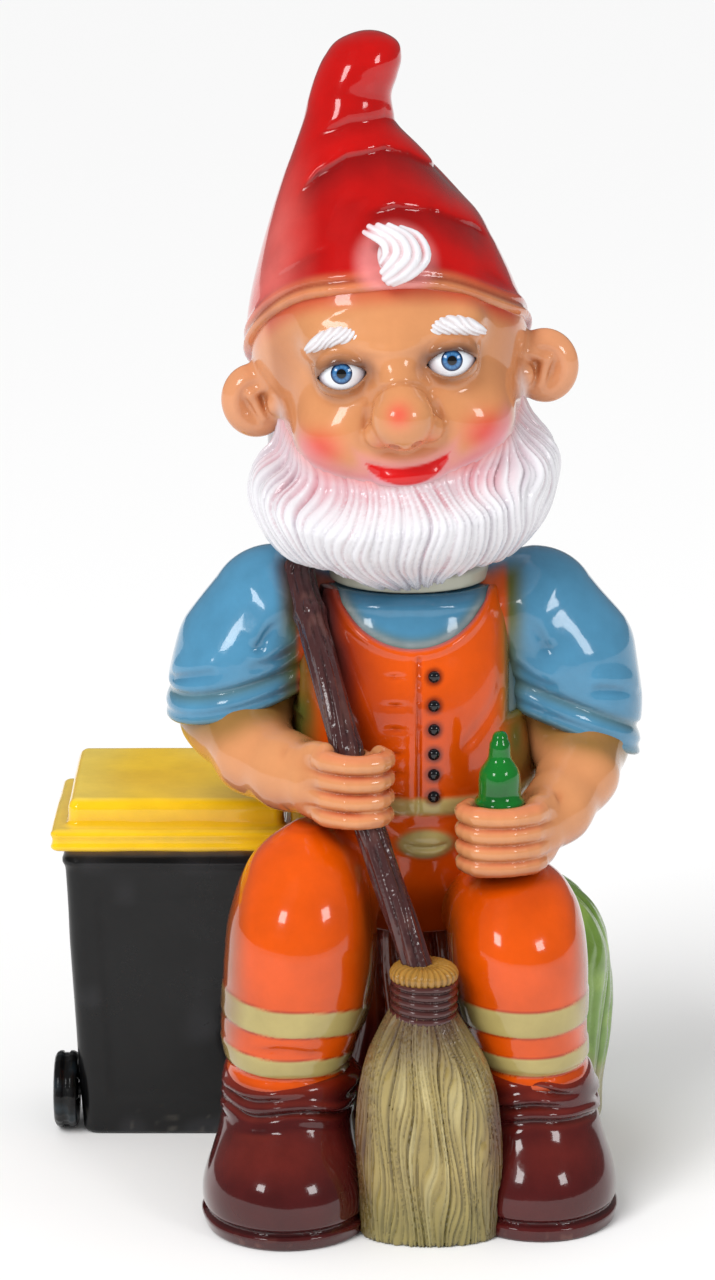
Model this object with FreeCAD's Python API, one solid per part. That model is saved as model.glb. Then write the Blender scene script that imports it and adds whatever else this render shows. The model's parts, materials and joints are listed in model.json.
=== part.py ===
import FreeCAD, Part
import functools
import math
import os

# A seated garden gnome with a broom, a bottle and a wheeled bin, moulded in hollow plastic.
# Every garment, limb and prop is its own shell or solid, and touches its neighbours face to face.
# The head is a separate moulding: its neck plug turns in the shirt's collar.
# Frame: millimetres, +Z up, the figure looks along -Y, the origin is on the floor under its middle.
# "right" and "left" are the figure's own, so its right side is at negative X.

# ---------------------------------------------------------------- driving dimensions
WALL = 3.0                 # wall of the moulded shells
OVERALLS_STEP = 1.0        # how far the overalls stand out from the shirt
SIDES = ("right", "left")

NECK_AXIS = (-3.0, -2.0)   # the vertical axis that the head turns about
PLUG_RADIUS = 22.0         # neck plug of the head
PLUG_CLEARANCE = 0.05      # radial, so that the head turns
PLUG_BORE = 18.0
PLUG_FOOT = 214.0          # height of the plug's lower end
COLLAR_TOP = 228.2
FLANGE_FOOT = 228.5        # the head's flange stands just clear of the collar
FLANGE_TOP = 234.0
FLANGE_RADIUS = 30.0
COLLAR_FOOT = 212.0        # the collar is solid from here up

HEAD_TURN = 25.0           # degrees each way
SHOULDER_CLEAR = 239.0     # the beard stays above this height behind SHOULDER_FRONT
SHOULDER_FRONT = -28.5

HEAD_CENTRE = (-6.5, -5.0, 302.0)
HEAD_TILT = 7.0            # degrees, towards the figure's right shoulder
SKULL_RADIUS = 46.0
SKULL_HALF_HEIGHT = 56.0
EYE_RADIUS = 9.0
EYE_PLACE = (19.6, -36.5, 13.0)      # the left eye, from the head's centre
NOSE_RADIUS = 9.5
NOSE_PLACE = (0.0, -49.5, 1.5)
EAR_PLACE = 53.5                     # ear's middle, out from the head's centre
EAR_RADIUS = 12.5
EAR_THICKNESS = 10.0
EAR_ROUNDING = 4.0
NECK_TOP = 262.0                     # inside the skull
BEARD_CENTRE = (-5.0, -20.0, 266.0)
BEARD_RADII = (57.0, 42.0, 35.0)
FACE_WINDOW = (-5.0, 306.0)          # middle of the beard's opening for the face, across and up
FACE_WINDOW_HALF = (41.0, 34.0)
BACK_HAIR_CENTRE = (-6.5, 3.0, 284.0)
BACK_HAIR_RADII = (49.0, 46.0, 44.0)
BACK_HAIR_FRONT = 14.0
BACK_HAIR_FOOT = 244.0
FORELOCK_CENTRE = (-8.0, -46.5, 353.0)
FORELOCK_RADIUS = 10.5
BROW_PLACE = (20.0, -38.0, 28.0)     # the left eyebrow, from the head's centre
BROW_RADIUS = 4.6
BROW_HALF_LENGTH = 10.5
HAT_SLOPE = 30.0           # the hat's edge drops this much from forehead to nape, in degrees
HAT_EDGE_HEIGHT = 17.0     # hat edge above the head's centre, on the neck axis
CROWN_FOOT = 348.0         # the hat is hollow between these heights, above the skull
CROWN_TOP = 415.0

SEAT_HEIGHT = 104.0
STUMP_FLOOR = 4.0
STOPPER_CENTRE = (12.0, 28.0)
STOPPER_FOOT = 0.4         # the stopper stays off the floor
STOPPER_TOP = 9.0
STOPPER_SHANK = 11.95
STOPPER_HOLE = 12.0
STOPPER_HEAD = 15.5
STOPPER_RECESS = 16.0
RECESS_DEPTH = 2.0

HANDLE_RADIUS = 5.8
WHEEL_RADIUS = 15.0
WHEEL_WIDTH = 9.0
WHEEL_Y = 24.0
WHEEL_STARTS = {"outer": -140.5, "inner": -62.3}     # the bin stands between them
TYRE_ROUNDING = 1.6
AXLE_RADIUS = 2.5
AXLE_X = (-140.0, -53.8)
BUTTON_RADIUS = 2.2
BUTTON_LENGTH = 4.0
BUTTON_PROUD = 1.6         # how far a button stands out from the bib

# Sections of the upright forms: height, centre x, centre y, half width, half depth.
TORSO = [
    (104.0, 3.0, 10.0, 47.0, 44.0),
    (125.0, 2.0, 6.0, 48.0, 47.0),
    (150.0, 0.0, 2.0, 46.0, 47.0),
    (180.0, -2.0, 0.0, 44.0, 44.0),
    (205.0, -3.0, -1.0, 42.0, 39.0),
    (220.0, -3.0, -2.0, 38.0, 34.0),
    (COLLAR_TOP, -3.0, -2.0, 34.0, 31.0),
]
STUMP = [
    (0.0, 12.0, 28.0, 62.0, 46.0),
    (16.0, 12.5, 28.0, 60.0, 44.0),
    (40.0, 15.0, 28.0, 62.0, 44.0),
    (60.0, 15.5, 28.0, 61.5, 44.0),
    (85.0, 14.0, 28.0, 58.0, 42.0),
    (99.0, 10.0, 28.0, 52.0, 38.0),
    (SEAT_HEIGHT, 8.0, 28.0, 47.0, 33.0),
]
HAT = [                    # evenly spaced, so that the smooth surface doesn't swing out between them
    (280.0, -8.5, -2.0, 53.3, 52.3),
    (302.0, -8.8, -2.0, 53.5, 52.5),
    (324.0, -10.6, -2.0, 51.9, 50.0),
    (344.5, -13.2, -1.0, 45.9, 45.0),
    (363.0, -15.6, 1.0, 38.2, 37.0),
    (383.0, -20.9, 4.0, 26.3, 26.0),
    (400.0, -25.3, 5.0, 16.2, 16.2),
    (418.0, -20.5, 5.0, 13.6, 13.4),
]
HAT_TIP = ((-19.6, 5.0, 417.5), (13.2, 13.0, 12.5))
LEG = {
    "right": [
        (57.0, -46.0, -57.0, 21.5, 23.5),
        (66.0, -46.0, -57.0, 25.0, 27.0),
        (82.0, -45.0, -58.0, 27.0, 30.0),
        (100.0, -44.0, -58.0, 27.0, 31.0),
        (118.0, -43.0, -57.0, 25.5, 30.0),
        (132.0, -42.0, -55.0, 21.0, 26.0),
        (142.0, -41.0, -53.0, 14.0, 18.0),
        (147.0, -41.0, -52.0, 5.0, 7.0),
    ],
    "left": [
        (57.0, 40.0, -54.0, 21.0, 22.5),
        (68.0, 38.0, -54.0, 24.5, 26.0),
        (84.0, 36.5, -55.0, 26.0, 29.0),
        (100.0, 36.0, -55.0, 26.0, 30.0),
        (112.0, 36.0, -55.0, 24.5, 29.0),
        (122.0, 35.0, -54.0, 20.0, 24.5),
        (129.0, 35.0, -53.0, 13.0, 17.0),
        (133.0, 35.0, -52.0, 5.0, 7.0),
    ],
}
THIGH = {
    "right": ((-28.0, -24.0, 119.0), (24.0, 42.0, 23.0)),
    "left": ((27.0, -22.0, 112.0), (23.0, 40.0, 21.0)),
}
BOOT_TOP = 57.0
BOOT = {
    "right": [
        (0.0, -47.0, -62.0, 27.5, 33.0),
        (20.0, -47.0, -61.0, 27.5, 31.0),
        (40.0, -46.5, -58.0, 25.5, 27.5),
        (51.0, -46.0, -57.5, 26.0, 27.0),
        (BOOT_TOP, -46.0, -57.0, 24.0, 25.0),
    ],
    "left": [
        (0.0, 43.0, -58.0, 27.0, 32.0),
        (20.0, 43.0, -57.0, 27.0, 30.0),
        (40.0, 42.0, -55.0, 25.0, 26.5),
        (51.0, 41.0, -54.5, 25.5, 26.0),
        (BOOT_TOP, 40.5, -54.0, 23.5, 24.0),
    ],
}
TOE = {
    "right": ((-49.0, -73.0, 0.0), (29.5, 31.0, 41.0)),
    "left": ((44.0, -66.0, 0.0), (27.5, 29.0, 40.0)),
}
BRISTLES = [
    (0.0, 3.5, -84.0, 26.2, 14.0),
    (16.0, 3.5, -84.0, 26.0, 14.5),
    (43.0, 4.0, -83.0, 24.4, 14.0),
    (63.0, 3.2, -82.0, 20.5, 13.0),
    (74.0, 2.6, -81.0, 15.0, 11.5),
    (81.0, 2.4, -81.0, 11.8, 11.0),
]
BINDING_TOP = 96.0
BINDING_RADIUS = 11.4
BINDING_CREST = 12.6       # radius at the crest of a turn of cord
BINDING_TURNS = 5
COLLAR_RING = [            # height, half width, half depth
    (BINDING_TOP, 12.0, 11.4),
    (99.0, 14.0, 12.6),
    (101.5, 13.4, 12.0),
    (103.0, 10.5, 9.5),
]
BROOM_HEAD_CENTRE = (2.0, -81.0)

# Round limbs and sticks: centre of each section, half width, half depth.
SLEEVE = {
    "right": [
        ((-30.0, 0.0, 211.0), 12.0, 15.0),
        ((-46.0, 0.0, 215.5), 17.5, 22.0),
        ((-59.0, 0.0, 207.0), 24.0, 27.0),
        ((-66.0, 0.0, 192.0), 26.0, 27.0),
        ((-67.5, -1.0, 178.0), 24.5, 25.0),
    ],
    "left": [
        ((23.0, 0.0, 211.0), 12.0, 15.0),
        ((39.0, 0.0, 215.5), 17.5, 22.0),
        ((52.0, 0.0, 206.0), 24.0, 27.0),
        ((58.5, 0.0, 190.0), 26.0, 27.0),
        ((60.5, -1.0, 175.0), 24.5, 25.0),
    ],
}
FOREARM = {
    "right": [
        ((-67.0, 1.0, 182.0), 20.0, 20.0),
        ((-67.0, -3.0, 168.0), 18.5, 18.5),
        ((-59.0, -20.0, 160.0), 15.5, 15.5),
        ((-47.0, -36.0, 159.5), 12.5, 12.5),
        ((-36.0, -46.0, 160.5), 12.0, 12.0),
        ((-28.0, -52.0, 161.0), 11.0, 11.0),
    ],
    "left": [
        ((60.0, 1.0, 179.0), 20.0, 20.0),
        ((63.5, -3.0, 163.0), 18.5, 18.5),
        ((62.5, -20.0, 151.0), 15.5, 15.5),
        ((55.5, -37.0, 146.5), 12.5, 12.5),
        ((45.0, -49.0, 145.0), 12.0, 12.0),
        ((36.0, -54.0, 144.5), 11.0, 11.0),
    ],
}
FIST = {
    "right": ((-25.0, -56.0, 160.5), (15.0, 14.5, 14.0)),
    "left": ((31.0, -57.0, 144.0), (16.5, 15.0, 13.0)),
}
HANDLE = [
    ((-42.0, -15.0, 231.5), 5.2),
    ((-36.0, -31.0, 210.0), HANDLE_RADIUS),
    ((-27.5, -50.0, 178.0), HANDLE_RADIUS),
    ((-18.0, -61.0, 147.0), HANDLE_RADIUS),
    ((-8.0, -71.0, 120.0), HANDLE_RADIUS + 0.2),
    ((0.0, -79.0, 101.0), HANDLE_RADIUS + 0.4),
]
BOTTLE_AXIS = (29.5, -59.0)
BOTTLE_PROFILE = [  # radius, height
    (0.0, 137.0), (7.2, 137.0), (7.2, 156.5), (9.2, 156.5), (9.2, 158.6), (7.7, 159.6), (7.6, 168.0),
    (6.6, 171.5), (4.3, 174.5), (3.8, 181.0), (2.6, 183.6), (0.0, 184.0),
]
BUTTON_X = 5.9
BUTTON_HEIGHTS = (199.7, 189.2, 180.5, 171.4, 163.8, 155.4)

BIN_FOOT = ((-98.0, 36.0, 0.0), (62.0, 52.0))       # centre, width and depth
BIN_RIM = ((-94.0, 40.0, 122.0), (82.0, 64.0))
BIN_CORNER = 6.0
BIN_WALL = 2.5
LID_X = (-138.5, -44.0)
LID_Y = (3.0, 77.0)
LID_FOOT = 119.0
LID_STEP = 127.5           # where the raised panel starts
LID_TOP = 138.3
LID_PANEL_INSET = 6.0
LID_CORNER = 8.0

# The overalls' outline as seen from the front, across and up, from the right strap's outer edge to the left one's.
STRAP_TOP = 240.0
BIB_OUTLINE = [
    (-43.0, STRAP_TOP), (-43.0, 182.0), (-70.0, 168.0), (-70.0, 100.0),
    (70.0, 100.0), (70.0, 168.0), (39.0, 182.0), (39.0, STRAP_TOP),
]
NECKLINE = {               # between the straps, from left to right
    "front": [(31.0, STRAP_TOP), (27.0, 222.0), (-2.0, 210.0), (-31.0, 222.0), (-36.0, STRAP_TOP)],
    "back": [(31.0, STRAP_TOP), (27.0, 208.0), (-2.0, 188.0), (-32.0, 208.0), (-36.0, STRAP_TOP)],
}
BIB_DEPTH = 90.0           # past the torso's front and back

HAT_REACH = 300.0          # a block that holds the whole hat above its edge
BIG = 400.0                # larger than the figure, for cutting planes
FRAGMENT = 0.02            # share of a solid under which a cut-off piece is waste
OVAL_POINTS = 16           # points that an oval's smooth curve goes through
UPWARDS = FreeCAD.Vector(0, 0, 1)
ACROSS = FreeCAD.Vector(1, 0, 0)
BACKWARDS = FreeCAD.Vector(0, 1, 0)


# ---------------------------------------------------------------- building blocks
def vector(point):
    return FreeCAD.Vector(*point)


def oval(centre, half_width, half_depth, facing=(0.0, 0.0, 1.0)):
    """A closed oval wire that faces along `facing`, with its seam always on the same side."""
    turn = FreeCAD.Rotation(UPWARDS, vector(facing))
    points = []
    for i in range(OVAL_POINTS):
        angle = 2 * math.pi * i / OVAL_POINTS
        around = FreeCAD.Vector(half_width * math.cos(angle), half_depth * math.sin(angle), 0)
        points.append(vector(centre) + turn.multVec(around))
    curve = Part.BSplineCurve()
    curve.interpolate(points, PeriodicFlag=True)
    return Part.Wire(curve.toShape())


def stacked(sections, grow=0.0):
    """A smooth solid through level ovals, each grown outwards by `grow`."""
    wires = [oval((x, y, z), rx + grow, ry + grow) for z, x, y, rx, ry in sections]
    return Part.makeLoft(wires, True, False)


def limb(sections, grow=0.0):
    """A smooth solid through ovals that face along the line of their centres."""
    centres = [vector(section[0]) for section in sections]
    wires = []
    for i, (centre, rx, ry) in enumerate(sections):
        before = centres[max(i - 1, 0)]
        after = centres[min(i + 1, len(centres) - 1)]
        along = after - before
        wires.append(oval(centre, rx + grow, ry + grow, (-along.x, -along.y, -along.z)))
    return Part.makeLoft(wires, True, False)


def ellipsoid(centre, radii, grow=0.0):
    stretch = FreeCAD.Matrix()
    stretch.scale(*[radius + grow for radius in radii])
    form = Part.makeSphere(1.0).transformGeometry(stretch)
    form.translate(vector(centre))
    return form


def spindle(centre, radius, half_length, axis=(0.0, 0.0, 1.0)):
    """A form that is round about its own axis, and a long ellipse along it."""
    middle = FreeCAD.Vector()
    side = FreeCAD.Vector(radius, 0, 0)
    end = FreeCAD.Vector(0, 0, half_length)
    arc = Part.ArcOfEllipse(Part.Ellipse(end, side, middle), 0, math.pi).toShape()
    chord = Part.makeLine(arc.Vertexes[-1].Point, arc.Vertexes[0].Point)
    form = Part.Face(Part.Wire([arc, chord])).revolve(middle, UPWARDS, 360)
    form.Placement = FreeCAD.Placement(vector(centre), FreeCAD.Rotation(UPWARDS, vector(axis)))
    return form


def rounded_disc(centre, radius, thickness, rounding):
    """A disc that faces along Y, with rounded edges."""
    x, y, z = centre
    disc = Part.makeCylinder(radius, thickness, FreeCAD.Vector(x, y - thickness / 2, z), BACKWARDS)
    return disc.makeFillet(rounding, [edge for edge in disc.Edges if edge.Closed])


def slab(low, high):
    """Everything between two heights."""
    block = Part.makeBox(2 * BIG, 2 * BIG, high - low)
    block.translate(FreeCAD.Vector(-BIG, -BIG, low))
    return block


def upright(centre, radius, low, high):
    return Part.makeCylinder(radius, high - low, FreeCAD.Vector(centre[0], centre[1], low))


def cut(form, *others):
    """form less each of the others, without the slivers that a cut can leave."""
    for other in others:
        if form.BoundBox.intersect(other.BoundBox):
            form = form.cut(other)
    return tidy(form)


def tidy(form):
    solids = sorted(form.Solids, key=lambda solid: -solid.Volume)
    kept = [solid for solid in solids if solid.Volume > FRAGMENT * solids[0].Volume]
    return kept[0] if len(kept) == 1 else Part.makeCompound(kept)


def on_side(place, side):
    """A place given for the left side, or its mirror image on the right."""
    x, y, z = place
    return FreeCAD.Vector(x if side == "left" else -x, y, z)


def tilted(form):
    """Turns a form made about the head's centre to the head's tilt, and puts it in place."""
    form.rotate(FreeCAD.Vector(), BACKWARDS, -HEAD_TILT)
    form.translate(vector(HEAD_CENTRE))
    return form


# ---------------------------------------------------------------- outer forms, used to cut neighbours
@functools.lru_cache(None)
def torso(grow=0.0):
    return stacked(TORSO, grow)


@functools.lru_cache(None)
def torso_cavity():
    return stacked(TORSO, -WALL).common(slab(SEAT_HEIGHT + WALL, COLLAR_FOOT))


@functools.lru_cache(None)
def stump_form(grow=0.0):
    return stacked(STUMP, grow)


@functools.lru_cache(None)
def leg_form(side, grow=0.0):
    return stacked(LEG[side], grow).fuse(ellipsoid(*THIGH[side], grow))


@functools.lru_cache(None)
def boot_form(side, grow=0.0):
    above_floor = slab(0.0 if grow == 0 else WALL, BIG)
    return stacked(BOOT[side], grow).fuse(ellipsoid(*TOE[side], grow)).common(above_floor)


@functools.lru_cache(None)
def sleeve_form(side, grow=0.0):
    return limb(SLEEVE[side], grow)


@functools.lru_cache(None)
def forearm_form(side, grow=0.0):
    return limb(FOREARM[side], grow).fuse(ellipsoid(*FIST[side], grow))


@functools.lru_cache(None)
def handle_form():
    return limb([(centre, radius, radius) for centre, radius in HANDLE])


@functools.lru_cache(None)
def bristle_form():
    return stacked(BRISTLES)


@functools.lru_cache(None)
def bottle_form():
    points = [FreeCAD.Vector(radius, 0, height) for radius, height in BOTTLE_PROFILE]
    face = Part.Face(Part.makePolygon(points + points[:1]))
    bottle = face.revolve(FreeCAD.Vector(), UPWARDS, 360)
    bottle.translate(FreeCAD.Vector(*BOTTLE_AXIS, 0))
    return bottle


@functools.lru_cache(None)
def hat_form():
    """The hat's outside, ending at its sloping edge."""
    above_edge = Part.makeBox(HAT_REACH, HAT_REACH, HAT_REACH)
    above_edge.translate(FreeCAD.Vector(-HAT_REACH / 2, -HAT_REACH / 2, HAT_EDGE_HEIGHT))
    above_edge.rotate(FreeCAD.Vector(0, 0, HAT_EDGE_HEIGHT), ACROSS, -HAT_SLOPE)
    return tidy(stacked(HAT).fuse(ellipsoid(*HAT_TIP)).common(tilted(above_edge)))


@functools.lru_cache(None)
def head_form():
    """Skull, ears, nose, neck column, flange and neck plug as one solid."""
    skull = tilted(spindle((0, 0, 0), SKULL_RADIUS, SKULL_HALF_HEIGHT))
    nose = tilted(Part.makeSphere(NOSE_RADIUS, vector(NOSE_PLACE)))
    column = upright(NECK_AXIS, FLANGE_RADIUS - WALL, FLANGE_TOP - 1.0, NECK_TOP)
    flange = upright(NECK_AXIS, FLANGE_RADIUS, FLANGE_FOOT, FLANGE_TOP)
    plug = upright(NECK_AXIS, PLUG_RADIUS, PLUG_FOOT, FLANGE_FOOT + 1.0)
    ears = []
    for out in (-EAR_PLACE, EAR_PLACE):
        ears.append(tilted(rounded_disc((out, 0.0, 0.0), EAR_RADIUS, EAR_THICKNESS, EAR_ROUNDING)))
    return skull.fuse([nose, column, flange, plug] + ears)


@functools.lru_cache(None)
def beard_form():
    """From ear to ear round a window for the face, cut away to clear the shoulders as the head turns."""
    window = Part.Face(oval((0.0, 0.0, 0.0), *FACE_WINDOW_HALF)).extrude(BIG * UPWARDS)
    window.rotate(FreeCAD.Vector(), ACROSS, 90)
    window.translate(FreeCAD.Vector(FACE_WINDOW[0], 0.0, FACE_WINDOW[1]))
    form = ellipsoid(BEARD_CENTRE, BEARD_RADII).cut(window)
    neck = FreeCAD.Vector(*NECK_AXIS, 0)
    for turn in (-HEAD_TURN, 0.0, HEAD_TURN):
        shoulders = slab(0.0, SHOULDER_CLEAR)
        shoulders.translate(FreeCAD.Vector(0, BIG + SHOULDER_FRONT, 0))
        shoulders.rotate(neck, UPWARDS, turn)
        form = form.cut(shoulders)
    return tidy(form)


def eye_ball(side):
    return tilted(Part.makeSphere(EYE_RADIUS, on_side(EYE_PLACE, side)))


# ---------------------------------------------------------------- head
def hat():
    crown_cavity = stacked(HAT, -WALL).common(slab(CROWN_FOOT, CROWN_TOP))
    return cut(hat_form(), head_form(), crown_cavity)


def head_shell():
    hollow = tilted(spindle((0, 0, 0), SKULL_RADIUS - WALL, SKULL_HALF_HEIGHT - WALL))
    bore = upright(NECK_AXIS, PLUG_BORE, PLUG_FOOT - 1.0, NECK_TOP)
    return cut(head_form(), hollow, bore, *[eye_ball(side) for side in SIDES])


def beard():
    return cut(beard_form(), head_form(), hat_form())


def back_hair():
    nape = ellipsoid(BACK_HAIR_CENTRE, BACK_HAIR_RADII)
    front_half = Part.makeBox(2 * BIG, BIG, 2 * BIG)
    front_half.translate(FreeCAD.Vector(-BIG, BACK_HAIR_FRONT - BIG, -BIG))
    return cut(nape, front_half, slab(-BIG, BACK_HAIR_FOOT), head_form(), hat_form(), beard_form())


def forelock():
    """A curl half sunk in the hat's brim and the forehead."""
    return Part.makeSphere(FORELOCK_RADIUS, vector(FORELOCK_CENTRE))


def eyebrow(side):
    brow = tilted(spindle(on_side(BROW_PLACE, side), BROW_RADIUS, BROW_HALF_LENGTH, (1.0, 0.0, 0.0)))
    return cut(brow, head_form(), hat_form())


# ---------------------------------------------------------------- torso and arms
def bib_region():
    """The part of the torso that the overalls cover: waist, bib with a round neck, back panel and straps."""
    corners = NECKLINE["front"][-1:] + BIB_OUTLINE + NECKLINE["front"][:1]
    outline = Part.makePolygon([FreeCAD.Vector(x, 0, z) for x, z in corners])
    halves = []
    for side, depth in (("front", -BIB_DEPTH), ("back", BIB_DEPTH)):
        neck = Part.BSplineCurve()
        neck.interpolate([FreeCAD.Vector(x, 0, z) for x, z in NECKLINE[side]])
        face = Part.Face(Part.Wire(outline.Edges + [neck.toShape()]))
        halves.append(face.extrude(depth * BACKWARDS))
    return halves[0].fuse(halves[1])


def collar_bore():
    return upright(NECK_AXIS, PLUG_RADIUS + PLUG_CLEARANCE, COLLAR_FOOT - 1.0, COLLAR_TOP + 1.0)


def overalls():
    cloth = torso(OVERALLS_STEP).common(bib_region())
    return cut(cloth.common(slab(0.0, COLLAR_TOP)), torso_cavity(), collar_bore())


def shirt():
    return cut(torso(), bib_region(), torso_cavity(), collar_bore())


def torso_front(x, z):
    """Where the overalls' front is, at a place across and up it."""
    for low, high in zip(TORSO, TORSO[1:]):
        if low[0] <= z <= high[0]:
            share = (z - low[0]) / (high[0] - low[0])
            _, cx, cy, rx, ry = [a + share * (b - a) for a, b in zip(low, high)]
            return cy - (ry + OVERALLS_STEP) * math.sqrt(1.0 - ((x - cx) / rx) ** 2)
    raise ValueError("no torso at height %g" % z)


def bib_buttons():
    buttons = []
    for z in BUTTON_HEIGHTS:
        front = FreeCAD.Vector(BUTTON_X, torso_front(BUTTON_X, z) - BUTTON_PROUD, z)
        stud = Part.makeCylinder(BUTTON_RADIUS, BUTTON_LENGTH, front, BACKWARDS)
        buttons.append(stud.cut(torso(OVERALLS_STEP)).Solids[0])
    return Part.makeCompound(buttons)


def sleeve(side):
    """Open into the torso, closed at the cuff, where the forearm meets it."""
    cavity = limb(SLEEVE[side][:-1], -WALL)
    flange_room = upright(NECK_AXIS, FLANGE_RADIUS + 1.0, COLLAR_TOP, BIG)
    return cut(sleeve_form(side), cavity, torso(OVERALLS_STEP), flange_room)


def forearm(side):
    """Bare forearm and fist in one shell; the fist is solid round what it holds."""
    held = handle_form() if side == "right" else bottle_form()
    cavity = limb(FOREARM[side][:-2], -WALL)
    neighbours = [sleeve_form(side), torso(OVERALLS_STEP), leg_form(side)]
    return cut(forearm_form(side), cavity, held, *neighbours)


# ---------------------------------------------------------------- legs, boots and seat
def trouser_leg(side):
    shin_cavity = stacked(LEG[side], -WALL).common(slab(0.0, LEG[side][-1][0] - WALL))
    thigh_cavity = ellipsoid(*THIGH[side], -WALL)
    others = [torso(OVERALLS_STEP), stump_form(), boot_form(side)]
    if side == "left":
        others.append(leg_form("right"))
    return cut(leg_form(side), shin_cavity, thigh_cavity, *others)


def boot(side):
    return cut(boot_form(side), boot_form(side, -WALL), bristle_form(), stump_form())


def stump():
    cavity = stump_form(-WALL).common(slab(STUMP_FLOOR, SEAT_HEIGHT - WALL))
    hole = upright(STOPPER_CENTRE, STOPPER_HOLE, -1.0, STUMP_FLOOR + 1.0)
    recess = upright(STOPPER_CENTRE, STOPPER_RECESS, -1.0, RECESS_DEPTH)
    return cut(stump_form(), cavity, hole, recess)


def stopper():
    head = upright(STOPPER_CENTRE, STOPPER_HEAD, STOPPER_FOOT, RECESS_DEPTH - 0.1)
    shank = upright(STOPPER_CENTRE, STOPPER_SHANK, RECESS_DEPTH - 0.2, STOPPER_TOP)
    return head.fuse(shank).removeSplitter()


# ---------------------------------------------------------------- broom and bottle
def broom_handle():
    below_ring = slab(-BIG, COLLAR_RING[-1][0])
    return cut(handle_form(), torso(OVERALLS_STEP), sleeve_form("right"), below_ring)


def broom_collar():
    """The stub ends of the twigs above the cord."""
    x, y = BROOM_HEAD_CENTRE
    return stacked([(height, x, y, half_width, half_depth) for height, half_width, half_depth in COLLAR_RING])


def broom_binding():
    """Turns of cord between the collar and the twigs."""
    foot = BRISTLES[-1][0]
    pitch = (BINDING_TOP - foot) / BINDING_TURNS
    axis_foot = FreeCAD.Vector(0, 0, foot)
    axis_top = FreeCAD.Vector(0, 0, BINDING_TOP)
    edges = [Part.makeLine(axis_foot, FreeCAD.Vector(BINDING_RADIUS, 0, foot))]
    for turn in range(BINDING_TURNS):
        low = FreeCAD.Vector(BINDING_RADIUS, 0, foot + turn * pitch)
        crest = FreeCAD.Vector(BINDING_CREST, 0, foot + (turn + 0.5) * pitch)
        high = FreeCAD.Vector(BINDING_RADIUS, 0, foot + (turn + 1) * pitch)
        edges.append(Part.Arc(low, crest, high).toShape())
    edges.append(Part.makeLine(high, axis_top))
    edges.append(Part.makeLine(axis_top, axis_foot))
    cord = Part.Face(Part.Wire(edges)).revolve(FreeCAD.Vector(), UPWARDS, 360)
    cord.translate(FreeCAD.Vector(*BROOM_HEAD_CENTRE, 0))
    return cord


# ---------------------------------------------------------------- bin
def rounded_rectangle(centre, size, corner, inset=0.0):
    """A level wire, a rectangle with arcs for corners, drawn in by `inset`."""
    half_x = size[0] / 2 - inset
    half_y = size[1] / 2 - inset
    radius = max(corner - inset, 1.0)
    arcs = []
    for along_x, along_y, start in [(1, 1, 0), (-1, 1, 90), (-1, -1, 180), (1, -1, 270)]:
        middle = vector(centre) + FreeCAD.Vector(along_x * (half_x - radius), along_y * (half_y - radius), 0)
        points = []
        for angle in (start, start + 45, start + 90):
            turn = FreeCAD.Rotation(UPWARDS, angle)
            points.append(middle + turn.multVec(radius * ACROSS))
        arcs.append(points)
    edges = []
    for points, following in zip(arcs, arcs[1:] + arcs[:1]):
        edges.append(Part.Arc(*points).toShape())
        edges.append(Part.makeLine(points[2], following[0]))
    return Part.Wire(edges)


@functools.lru_cache(None)
def bin_form(inset=0.0):
    foot = rounded_rectangle(*BIN_FOOT, BIN_CORNER, inset)
    rim = rounded_rectangle(*BIN_RIM, BIN_CORNER, inset)
    return Part.makeLoft([foot, rim], True, True)


def bin_body():
    cavity = bin_form(BIN_WALL).common(slab(BIN_WALL, BIG))
    return cut(bin_form(), cavity, bin_axle(), boot_form("right"), leg_form("right"))


def lid_block(inset, low, high):
    centre = ((LID_X[0] + LID_X[1]) / 2, (LID_Y[0] + LID_Y[1]) / 2, low)
    size = (LID_X[1] - LID_X[0], LID_Y[1] - LID_Y[0])
    wire = rounded_rectangle(centre, size, LID_CORNER, inset)
    return Part.Face(wire).extrude((high - low) * UPWARDS)


def bin_lid():
    """A skirt that hangs over the bin's rim, and a raised panel."""
    rim_height = BIN_RIM[0][2]
    block = lid_block(0.0, LID_FOOT, LID_STEP).fuse(lid_block(LID_PANEL_INSET, LID_STEP, LID_TOP))
    cavity = lid_block(LID_PANEL_INSET + BIN_WALL, rim_height - 0.5, LID_TOP - BIN_WALL)
    neighbours = [bin_form(), torso(OVERALLS_STEP), leg_form("right"), forearm_form("right")]
    return cut(block, cavity, *neighbours)


def bin_axle():
    start, end = AXLE_X
    return Part.makeCylinder(AXLE_RADIUS, end - start, FreeCAD.Vector(start, WHEEL_Y, WHEEL_RADIUS), ACROSS)


def bin_wheel(name):
    """A solid tyre with rounded edges, bored for the axle."""
    centre = FreeCAD.Vector(WHEEL_STARTS[name], WHEEL_Y, WHEEL_RADIUS)
    tyre = Part.makeCylinder(WHEEL_RADIUS, WHEEL_WIDTH, centre, ACROSS)
    tyre = tyre.makeFillet(TYRE_ROUNDING, [edge for edge in tyre.Edges if edge.Closed])
    return cut(tyre, bin_axle())


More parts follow.
